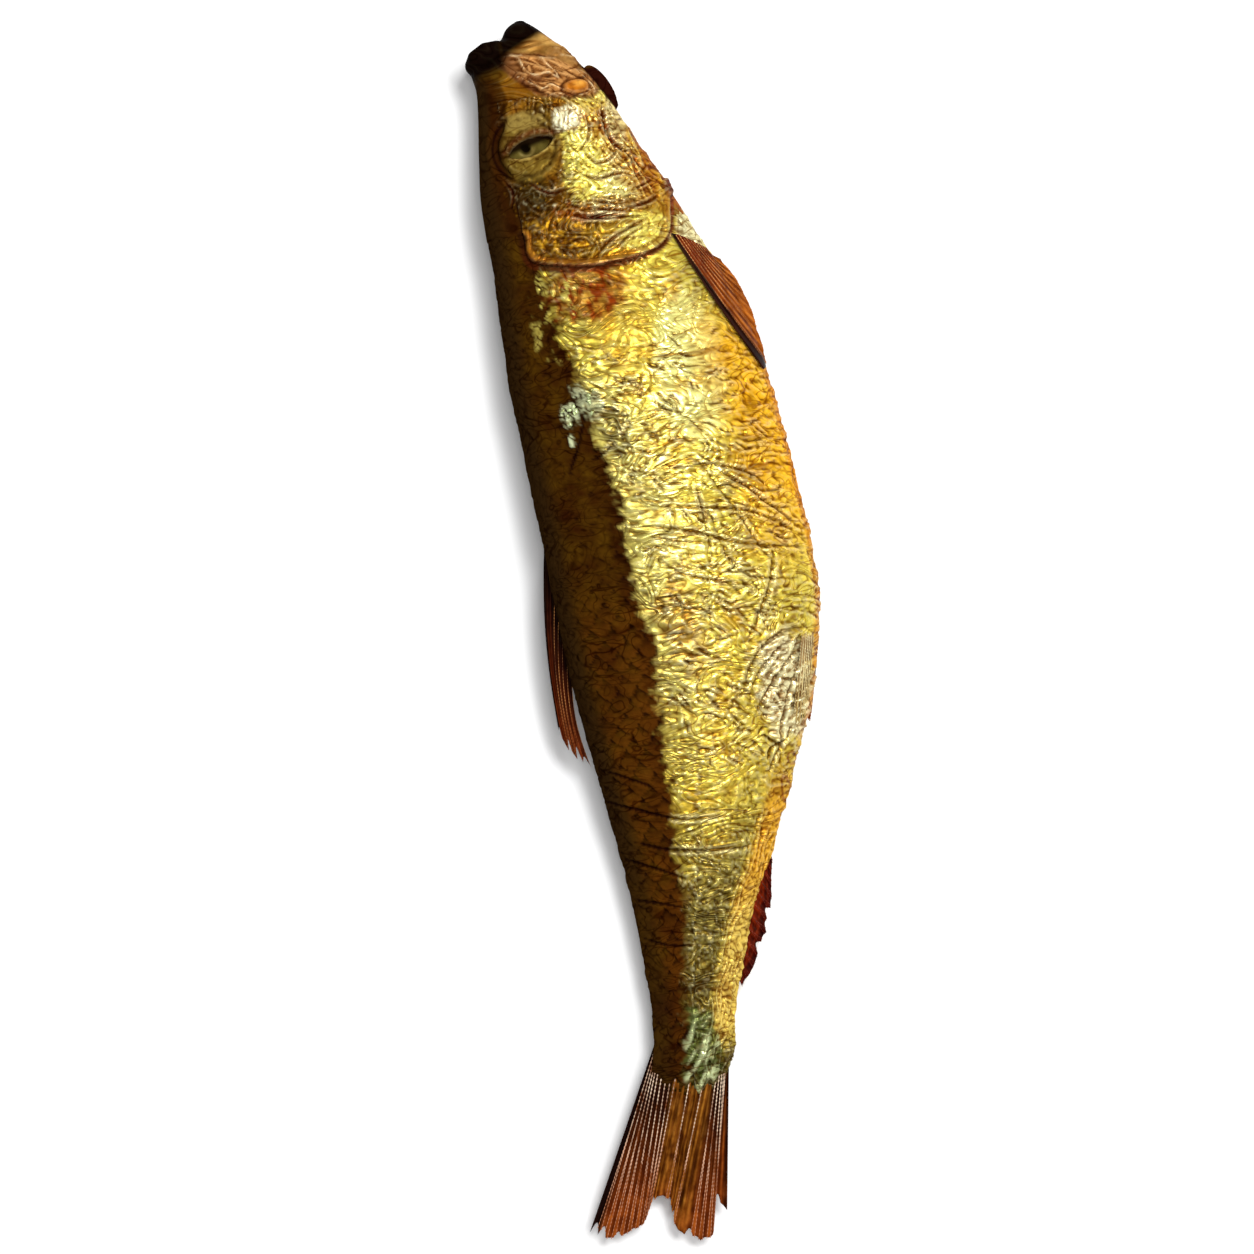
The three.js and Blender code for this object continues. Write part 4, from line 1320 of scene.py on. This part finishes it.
def deliver(tree, given, made, instances, result):
    """Instances made real, given the tree's material and handed out."""
    realize = tree.nodes.new("GeometryNodeRealizeInstances")
    finish = tree.nodes.new("GeometryNodeSetMaterial")
    tree.links.new(instances, realize.inputs["Geometry"])
    connect(tree, (realize, "Geometry", finish, "Geometry"), (given, "Material", finish, "Material"),
            (finish, "Geometry", made, result))


def run_tree(obj, tree, inputs):
    """The object's mesh replaced by what a node tree makes of it, with no modifier left."""
    modifier = obj.modifiers.new(tree.name, "NODES")
    modifier.node_group = tree
    for item in tree.interface.items_tree:
        if item.item_type == "SOCKET" and item.in_out == "INPUT" and item.name in inputs:
            modifier[item.identifier] = inputs[item.name]
    graph = bpy.context.evaluated_depsgraph_get()
    mesh = bpy.data.meshes.new_from_object(obj.evaluated_get(graph), depsgraph=graph)
    obj.modifiers.clear()
    obj.data = mesh
    mesh.shade_smooth()
    return obj


def flake_tree():
    """A node tree that lays a thin loose scale on every point, turned as the point says."""
    tree, given, made = new_tree("loose_scales", "Scales", [
        ("Places", "Geometry"), ("Scale length", "Float"), ("Material", "Material")])
    new = tree.nodes.new
    to_points, flat = new("GeometryNodeMeshToPoints"), new("GeometryNodeTransform")
    disc = ball(tree, 5, 3, 0.5)
    flat.inputs["Scale"].default_value = (1.0, 0.6, 0.07)
    spread_out, to_turn = new("GeometryNodeInstanceOnPoints"), new("FunctionNodeEulerToRotation")
    length = maths(tree, "MULTIPLY", point_value(tree, "size"), given.outputs["Scale length"])
    tree.links.new(point_value(tree, "turn", "FLOAT_VECTOR"), to_turn.inputs["Euler"])
    tree.links.new(length, spread_out.inputs["Scale"])
    connect(tree, (given, "Places", to_points, "Mesh"), (disc, "Mesh", flat, "Geometry"),
            (to_points, "Points", spread_out, "Points"), (flat, "Geometry", spread_out, "Instance"),
            (to_turn, "Rotation", spread_out, "Rotation"))
    deliver(tree, given, made, spread_out.outputs["Instances"], "Scales")
    return tree


FLAKE_PATCHES = [((99.5, -1.8), (2.8, 2.2), 8), ((97, 3.4), (3.4, 2.6), 6)]  # (place, half size, how many)


def sunk_root(side, lift, station):
    """A fin that lies on the flank, its root passing under the skin at a station."""
    on_skin = on_flank(side, lift)
    return lambda s, t: on_skin(s, t) - side * 1.6 * ramp(s, station + 5, station)


def loose_scales(trunk_mesh, material):
    """Scales that have come away from the skin of the flank that shows, small and bright."""
    rng = np.random.default_rng(77)
    points, normals = points_of(trunk_mesh), normals_of(trunk_mesh)
    s, t, z = unplace(points)
    upper = (z > middle_height(s)) & (normals[:, 2] > 0.3)
    chosen, turns, sizes = [], [], []
    for at, half, count in FLAKE_PATCHES:
        for _ in range(count):
            u, v = rng.normal(0, 0.55, 2)
            off = np.hypot(s - at[0] - u * half[0], t - at[1] - v * half[1]) + np.where(upper, 0, 100)
            i = int(np.argmin(off))
            n = normals[i]
            chosen.append(points[i] + n * 0.00015)
            tilt = -math.asin(n[1]) + rng.normal(0, 0.16), math.asin(n[0]) + rng.normal(0, 0.16)
            turns.append((*tilt, rng.uniform(0, 6.3)))
            sizes.append(rng.uniform(0.5, 1.1))
    mesh = bpy.data.meshes.new("loose_scales")
    mesh.from_pydata([c.tolist() for c in chosen], [], [])
    attach(mesh, "turn", "FLOAT_VECTOR", "vector", turns)
    attach(mesh, "size", "FLOAT", "value", sizes)
    inputs = {"Scale length": 2.1 * MM, "Material": material}
    return run_tree(new_object("loose_scales", mesh), flake_tree(), inputs)


def ray_tree():
    """A node tree that strings beads on a fin's ray lines, with a thin core through them."""
    tree, given, made = new_tree("beaded_rays", "Rays", [
        ("Lines", "Geometry"), ("Bead spacing", "Float"), ("Ray radius", "Float"), ("Material", "Material")])
    new = tree.nodes.new
    to_curve, resample = new("GeometryNodeMeshToCurve"), new("GeometryNodeResampleCurve")
    resample.mode = "LENGTH"
    radius = maths(tree, "MULTIPLY", point_value(tree, "width"), given.outputs["Ray radius"])
    core_radius = maths(tree, "MULTIPLY", radius, 0.35)
    half_bead = maths(tree, "MULTIPLY", given.outputs["Bead spacing"], 0.36)
    size = new("ShaderNodeCombineXYZ")
    for axis, length in (("X", radius), ("Y", radius), ("Z", half_bead)):
        tree.links.new(length, size.inputs[axis])
    bead = ball(tree, 6, 4, 1.0)
    tangent, align = new("GeometryNodeInputTangent"), new("FunctionNodeAlignRotationToVector")
    align.axis = "Z"
    string, join = new("GeometryNodeInstanceOnPoints"), new("GeometryNodeJoinGeometry")
    core_ring = new("GeometryNodeCurvePrimitiveCircle")
    core_ring.inputs["Resolution"].default_value = 5
    core_ring.inputs["Radius"].default_value = 1.0
    set_radius, core = new("GeometryNodeSetCurveRadius"), new("GeometryNodeCurveToMesh")
    core.inputs["Fill Caps"].default_value = True
    tree.links.new(core_radius, set_radius.inputs["Radius"])
    if "Scale" in core.inputs:
        tree.links.new(core_radius, core.inputs["Scale"])
    connect(tree, (given, "Lines", to_curve, "Mesh"), (to_curve, "Curve", resample, "Curve"),
            (given, "Bead spacing", resample, "Length"), (tangent, "Tangent", align, "Vector"),
            (resample, "Curve", string, "Points"), (bead, "Mesh", string, "Instance"),
            (align, "Rotation", string, "Rotation"), (size, "Vector", string, "Scale"),
            (resample, "Curve", set_radius, "Curve"), (set_radius, "Curve", core, "Curve"),
            (core_ring, "Curve", core, "Profile Curve"), (string, "Instances", join, "Geometry"),
            (core, "Mesh", join, "Geometry"))
    deliver(tree, given, made, join.outputs["Geometry"], "Rays")
    return tree


def fin_rays(name, lines, tree, spacing, radius, material):
    points, edges, thickness, shares = lines
    mesh = bpy.data.meshes.new(name)
    mesh.from_pydata(points, edges, [])
    attach(mesh, "width", "FLOAT", "value", thickness)
    attach(mesh, "share", "FLOAT", "value", shares)
    inputs = {"Bead spacing": spacing * MM, "Ray radius": radius * MM, "Material": material}
    return run_tree(new_object(name, mesh), tree, inputs)


FIN_DARK = srgb(30, 10, 6)
FIN_RED = srgb(160, 70, 18)
FIN_MAROON = srgb(82, 20, 12)


def fins(web, ray_stuffs):
    """Every fin as a web and its rays, the web outlined along its first and last rays."""
    tree = ray_tree()
    pectoral = dict(root=[(58.4, 29.4), (59.2, 31.6), (60.8, 34.4), (63, 37.8)],
                    tip=[(95.4, 47.4), (94.4, 48.5), (87.5, 48.0), (80.5, 46.9), (72, 44.2), (66, 40.8)],
                    root_colour=srgb(140, 58, 14), ragged=0.03, split=0.06, bow=-0.6, rays_of="tan")
    specs = [
        dict(name="tail", root=[(257, -4), (263, -4), (266, 0), (267, 5), (266, 10), (262, 13), (257, 14.6)],
             tip=[(303.8, -28.2), (305.3, -24), (304.8, -19.5), (303.2, -14.6), (298.6, -11.4), (296.4, -8.8),
                  (298.4, -6.9), (304, -6.6), (307.6, -3.8), (308.8, 2.4), (301, 4.4), (302.6, 7.3)],
             rays=26, height_at=in_middle, root_colour=srgb(58, 24, 8), tip_colour=srgb(162, 82, 26),
             edge_colour=FIN_DARK, middle=srgb(172, 112, 36), bare=(0.34, 0.66), skip=1, stop=2,
             seed=5, ragged=0.025, split=0.08, ripple=0.3, spacing=1.0, radius=0.21, rays_of="pale"),
        dict(name="dorsal", root=[(128, -13), (144, -12.2), (160, -10.8)],
             tip=[(178, -16.6), (183, -14.6), (186, -12.4), (187, -10)],
             rays=7, height_at=in_middle, root_colour=srgb(40, 14, 6), tip_colour=srgb(112, 46, 16),
             edge_colour=FIN_DARK, skip=3, edge=(0, 0.08),
             seed=6, ragged=0.05, split=0.12, bow=-1.6, spacing=0.8, radius=0.1, rays_of="tan"),
        dict(name="anal", root=[(211, 30.6), (220, 26.8), (229, 22.8), (237, 20.2), (243, 18.2)],
             tip=[(217, 31.6), (226.5, 30.0), (233, 28), (241.5, 23.9), (247, 19.4)],
             rays=11, height_at=in_middle, root_colour=srgb(150, 50, 14), tip_colour=srgb(70, 12, 8),
             edge_colour=FIN_MAROON,
             seed=7, ragged=0.12, split=0.2, thick=0.5, spacing=0.7, radius=0.17, rays_of="maroon"),
        dict(pectoral, name="pectoral_right", rays=10, height_at=on_flank(1, 0.8), seed=8, ripple=0.14,
             tip_colour=srgb(196, 114, 34), edge_colour=srgb(52, 20, 8), skip=1, edge=(0.04, 0.05),
             spacing=0.8, radius=0.13),
        dict(pectoral, name="pectoral_left", rays=14, height_at=on_flank(-1, 0.5), seed=9,
             tip_colour=srgb(186, 108, 34), edge_colour=srgb(40, 16, 6), spacing=0.75, radius=0.15),
        dict(name="pelvic_right", root=[(159.5, 47.4), (160.4, 48.8), (161.5, 50)],
             tip=[(183.9, 41.2), (185, 43), (182, 45.2)],
             rays=6, height_at=sunk_root(1, 0.3, 159.5), root_colour=BELLY_PALE,
             tip_colour=srgb(206, 184, 110), edge_colour=srgb(120, 84, 34),
             seed=10, ragged=0.08, split=0.2, ripple=0.4, spacing=0.8, radius=0.13, rays_of="cream"),
        dict(name="pelvic_left", root=[(161, 49.6), (162, 50.6), (163, 51.2)],
             tip=[(182.5, 44.6), (184, 45.6), (181.5, 46.6)],
             rays=6, height_at=on_flank(-1, 0.3), root_colour=AMBER_EDGE,
             tip_colour=FIN_RED, edge_colour=FIN_RED,
             seed=11, ragged=0.06, split=0.1, spacing=0.8, radius=0.2, rays_of="tan"),
    ]
    made = []
    for spec in specs:
        name, spacing, radius = spec.pop("name"), spec.pop("spacing"), spec.pop("radius")
        ray_stuff = ray_stuffs[spec.pop("rays_of")]
        sheet, lines = fin_web(name + "_web", material=web, **spec)
        made += [sheet, fin_rays(name + "_rays", lines, tree, spacing, radius, ray_stuff)]
    return made


# ---------------------------------------------------------------- materials
def new_material(name):
    material = bpy.data.materials.new(name)
    material.use_nodes = True
    tree = material.node_tree
    tree.nodes.clear()
    shader, out = tree.nodes.new("ShaderNodeBsdfPrincipled"), tree.nodes.new("ShaderNodeOutputMaterial")
    tree.links.new(shader.outputs["BSDF"], out.inputs["Surface"])
    return material, tree, shader


def noise(tree, scale, detail=2.0, rough=0.5, vector=None):
    node = tree.nodes.new("ShaderNodeTexNoise")
    node.inputs["Scale"].default_value = scale
    node.inputs["Detail"].default_value = detail
    node.inputs["Roughness"].default_value = rough
    tree.links.new(vector or object_coordinates(tree), node.inputs["Vector"])
    return node.outputs["Fac"]


def object_coordinates(tree):
    node = tree.nodes.get("where") or tree.nodes.new("ShaderNodeTexCoord")
    node.name = "where"
    return node.outputs["Object"]


def stretched(tree, x, y, z):
    node = tree.nodes.new("ShaderNodeMapping")
    node.inputs["Scale"].default_value = (x, y, z)
    tree.links.new(object_coordinates(tree), node.inputs["Vector"])
    return node.outputs["Vector"]


def maths(tree, operation, a, b):
    node = tree.nodes.new("ShaderNodeMath")
    node.operation = operation
    for socket, value in zip(node.inputs, (a, b)):
        if isinstance(value, (int, float)):
            socket.default_value = value
        else:
            tree.links.new(value, socket)
    return node.outputs[0]


def spread(tree, value, low, high, to_low, to_high):
    node = tree.nodes.new("ShaderNodeMapRange")
    for name, number in (("From Min", low), ("From Max", high), ("To Min", to_low), ("To Max", to_high)):
        node.inputs[name].default_value = number
    tree.links.new(value, node.inputs["Value"])
    return node.outputs["Result"]


def attribute(tree, name):
    node = tree.nodes.new("ShaderNodeAttribute")
    node.attribute_name = name
    return node


def mix_colour(tree, kind, factor, a, b):
    """Two colours mixed. Each of factor, a and b is a socket or a plain value."""
    node = tree.nodes.new("ShaderNodeMix")
    node.data_type = "RGBA"
    node.blend_type = kind
    for socket, value in zip((node.inputs["Factor"], node.inputs[6], node.inputs[7]), (factor, a, b)):
        if isinstance(value, (int, float, tuple)):
            socket.default_value = value
        else:
            tree.links.new(value, socket)
    return node.outputs[2]


def bump(tree, height, distance, strength=1.0, below=None):
    node = tree.nodes.new("ShaderNodeBump")
    if isinstance(strength, float):
        node.inputs["Strength"].default_value = strength
    else:
        tree.links.new(strength, node.inputs["Strength"])
    node.inputs["Distance"].default_value = distance
    tree.links.new(height, node.inputs["Height"])
    if below is not None:
        tree.links.new(below, node.inputs["Normal"])
    return node.outputs["Normal"]


def level_lines(tree, vector, count, twist, detail=1.0):
    """Folds that run round one another, 0 along each line to 1 between two."""
    node = tree.nodes.new("ShaderNodeTexNoise")
    node.inputs["Scale"].default_value = 1.0
    node.inputs["Detail"].default_value = detail
    node.inputs["Distortion"].default_value = twist
    tree.links.new(vector, node.inputs["Vector"])
    turns = maths(tree, "PINGPONG", maths(tree, "MULTIPLY", node.outputs["Fac"], count), 0.5)
    return maths(tree, "MULTIPLY", turns, 2.0)


def two_tone(tree, value, low, dark, high, light):
    """A colour that runs from dark to light as a value goes from low to high."""
    node = tree.nodes.new("ShaderNodeValToRGB")
    for element, position, colour in zip(node.color_ramp.elements, (low, high), (dark, light)):
        element.position = position
        element.color = (*colour, 1)
    tree.links.new(value, node.inputs["Fac"])
    return node.outputs["Color"]


def smoked_skin(name, size):
    """Oily skin: painted colour, metallic where the silver shows gold, crinkled finer than the mesh, with
    painted shade along the fine folds and painted highlight on their crests.
    """
    material, tree, shader = new_material(name)
    colour, foil = attribute(tree, "colour").outputs["Color"], attribute(tree, "foil").outputs["Fac"]
    worms = level_lines(tree, stretched(tree, 75 / size, 125 / size, 110 / size), 8.0, 1.3)
    creases = level_lines(tree, stretched(tree, 32 / size, 120 / size, 80 / size), 7.0, 0.7, 2.0)
    speck = noise(tree, 900, 2, 0.5)
    worm_line = spread(tree, worms, 0.04, 0.28, 1, 0)
    crease_line = spread(tree, creases, 0.03, 0.22, 1, 0)
    patchy = spread(tree, noise(tree, 110, 2), 0.36, 0.58, 0.45, 1.0)
    drawn = maths(tree, "MAXIMUM", maths(tree, "MULTIPLY", worm_line, 0.85), crease_line)
    lines = maths(tree, "MULTIPLY", drawn, patchy)
    # painted shade along the lines where the bump folds sink
    line_shaded = mix_colour(tree, "MULTIPLY", maths(tree, "MULTIPLY", lines, 0.95), colour, (0.32, 0.18, 0.06, 1))
    # painted highlight on the crests of the bump folds, where the skin is metallic
    crests = maths(tree, "MULTIPLY", spread(tree, worms, 0.6, 1.0, 0, 0.47), foil)
    bright = maths(tree, "MULTIPLY", crests, foil)
    top_highlight = mix_colour(tree, "SCREEN", bright, line_shaded, (0.5, 0.46, 0.2, 1))
    grain = tree.nodes.new("ShaderNodeCombineColor")
    for socket in grain.inputs:
        tree.links.new(spread(tree, speck, 0.35, 0.62, 0.88, 1.08), socket)
    grained = mix_colour(tree, "MULTIPLY", 1.0, top_highlight, grain.outputs["Color"])
    tree.links.new(grained, shader.inputs["Base Color"])
    metal = maths(tree, "MULTIPLY", foil, spread(tree, lines, 0, 1, 0.62, 0.3))
    tree.links.new(metal, shader.inputs["Metallic"])
    tree.links.new(spread(tree, noise(tree, 130, 3), 0.3, 0.7, 0.24, 0.4), shader.inputs["Roughness"])
    strength = spread(tree, foil, 0.1, 0.5, 0.16, 0.6)
    fold = bump(tree, worms, 0.0003 * size, strength, bump(tree, creases, 0.0004 * size, strength))
    tree.links.new(bump(tree, speck, 0.0001, 0.3, fold), shader.inputs["Normal"])
    shader.inputs["Specular IOR Level"].default_value = 0.0
    return material


def fin_web_stuff():
    material, tree, shader = new_material("fin_web")
    colour = attribute(tree, "colour").outputs["Color"]
    blotch = noise(tree, 500, 3)
    dark = mix_colour(tree, "MULTIPLY", 0.7, colour, (0.42, 0.26, 0.14, 1))
    mixed = mix_colour(tree, "MIX", spread(tree, blotch, 0.35, 0.65, 0, 1), dark, colour)
    tree.links.new(mixed, shader.inputs["Base Color"])
    tree.links.new(spread(tree, blotch, 0.3, 0.7, 0.26, 0.42), shader.inputs["Roughness"])
    tree.links.new(bump(tree, noise(tree, 1200, 2), 0.00012, 0.5), shader.inputs["Normal"])
    shader.inputs["Specular IOR Level"].default_value = 0.04
    shader.inputs["Specular Tint"].default_value = (1.0, 0.75, 0.5, 1)
    return material


def fin_ray_stuff(name, dark, light, tip):
    """Horny fin rays, streaked between two colours at the root and taking a third towards the tip."""
    material, tree, shader = new_material(name)
    streak = noise(tree, 1.0, 3, 0.6, stretched(tree, 420, 90, 420))
    streaked = two_tone(tree, streak, 0.38, dark, 0.6, light)
    uneven = spread(tree, streak, 0.3, 0.7, -0.3, 0.3)
    towards_tip = maths(tree, "ADD", attribute(tree, "share").outputs["Fac"], uneven)
    reddened = mix_colour(tree, "MIX", spread(tree, towards_tip, 0.35, 0.95, 0, 0.8), streaked, (*tip, 1))
    tree.links.new(reddened, shader.inputs["Base Color"])
    tree.links.new(spread(tree, noise(tree, 900, 2), 0.3, 0.7, 0.26, 0.42), shader.inputs["Roughness"])
    shader.inputs["Specular IOR Level"].default_value = 0.35
    shader.inputs["Specular Tint"].default_value = (1.0, 0.8, 0.62, 1)
    return material


def flake_stuff():
    """Loose scales: pale, faintly green and pearly."""
    material, tree, shader = new_material("loose_scale")
    tint = noise(tree, 420, 2)
    pearl = two_tone(tree, tint, 0.38, srgb(120, 112, 46), 0.52, srgb(214, 230, 166))
    tree.links.new(pearl, shader.inputs["Base Color"])
    tree.links.new(spread(tree, tint, 0.3, 0.7, 0.5, 0.2), shader.inputs["Metallic"])
    tree.links.new(spread(tree, noise(tree, 1800, 2), 0.3, 0.7, 0.16, 0.36), shader.inputs["Roughness"])
    return material


def eye_stuff():
    material, tree, shader = new_material("wet_eye")
    colour = attribute(tree, "colour").outputs["Color"]
    cloud = spread(tree, noise(tree, 360, 4, 0.6), 0.35, 0.65, 0, 1)
    dim = mix_colour(tree, "MULTIPLY", 0.8, colour, (0.5, 0.42, 0.3, 1))
    tree.links.new(mix_colour(tree, "MIX", cloud, dim, colour), shader.inputs["Base Color"])
    tree.links.new(spread(tree, cloud, 0, 1, 0.26, 0.4), shader.inputs["Roughness"])
    tree.links.new(bump(tree, noise(tree, 420, 2), 0.0003, 0.25), shader.inputs["Normal"])
    shader.inputs["Specular IOR Level"].default_value = 0.0
    return material


def floor_stuff():
    material, tree, shader = new_material("pale_floor")
    tint = spread(tree, noise(tree, 3, 2), 0.3, 0.7, 0.93, 0.95)
    grey = tree.nodes.new("ShaderNodeCombineColor")
    for socket in grey.inputs:
        tree.links.new(tint, socket)
    tree.links.new(grey.outputs["Color"], shader.inputs["Base Color"])
    shader.inputs["Roughness"].default_value = 0.8
    shader.inputs["Specular IOR Level"].default_value = 0.1
    return material


# ---------------------------------------------------------------- stage
VIEW_TURN = -8.5
VIEW_CENTRE = (153.5, 4.1)  # station and across value under the camera
VIEW_WIDTH = 313.5  # millimetres of the fish's middle plane that the frame spans
VIEW_DISTANCE = 1200
SENSOR = 36


def camera():
    data = bpy.data.cameras.new("camera")
    data.sensor_width = SENSOR
    data.lens = SENSOR * VIEW_DISTANCE / VIEW_WIDTH
    obj = new_object("camera", data)
    obj.location = place(*[np.float64(v) for v in VIEW_CENTRE], VIEW_DISTANCE + middle_height(60))
    obj.rotation_euler = (0, 0, math.radians(VIEW_TURN))
    bpy.context.scene.camera = obj


def softbox(name, at, size, power):
    """A rectangular light that faces the fish."""
    data = bpy.data.lights.new(name, "AREA")
    data.shape = "RECTANGLE"
    data.size, data.size_y = size
    data.energy = power
    obj = new_object(name, data)
    obj.location = at
    aim = -np.array(at, float)
    x, y, z = aim / np.linalg.norm(aim)
    obj.rotation_euler = (math.acos(max(-1.0, min(1.0, -z))), 0, math.atan2(x, -y))


def lights():
    softbox("key", (0.4, 0.38, 1.36), (0.45, 0.55), 24)
    softbox("top", (0.0, 0.05, 1.8), (0.4, 0.4), 7)
    softbox("fill", (0.62, -0.75, 1.2), (0.6, 0.5), 11)
    world = bpy.data.worlds.new("studio")
    world.use_nodes = True
    world.node_tree.nodes["Background"].inputs["Color"].default_value = (1, 1, 1, 1)
    world.node_tree.nodes["Background"].inputs["Strength"].default_value = 0.32
    bpy.context.scene.world = world
    bpy.context.scene.view_settings.view_transform = "Standard"


def floor():
    size = 1.5
    points = [(-size, -size, 0), (size, -size, 0), (size, size, 0), (-size, size, 0)]
    obj = make_mesh("floor", points, [(0, 1, 2, 3)], floor_stuff())


camera()
lights()
floor()
trunk_piece = trunk(smoked_skin("smoked_skin", 1.0))
head_piece = head(smoked_skin("head_skin", 1.4))
eyes = eyeballs(eye_stuff())
ray_stuffs = {
    "pale": fin_ray_stuff("fin_ray_pale", srgb(120, 66, 34), srgb(232, 206, 178), srgb(190, 110, 66)),
    "tan": fin_ray_stuff("fin_ray_tan", srgb(64, 24, 6), srgb(212, 144, 80), srgb(150, 82, 30)),
    "maroon": fin_ray_stuff("fin_ray_maroon", srgb(50, 10, 6), srgb(150, 46, 22), srgb(90, 16, 8)),
    "cream": fin_ray_stuff("fin_ray_cream", srgb(150, 116, 54), srgb(240, 230, 178), srgb(214, 190, 120)),
}
fin_pieces = fins(fin_web_stuff(), ray_stuffs)
flakes = loose_scales(trunk_piece.data, flake_stuff())

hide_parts("smoked_fish")
for piece in (trunk_piece, head_piece, flakes, *eyes, *fin_pieces):
    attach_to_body(piece, "root")
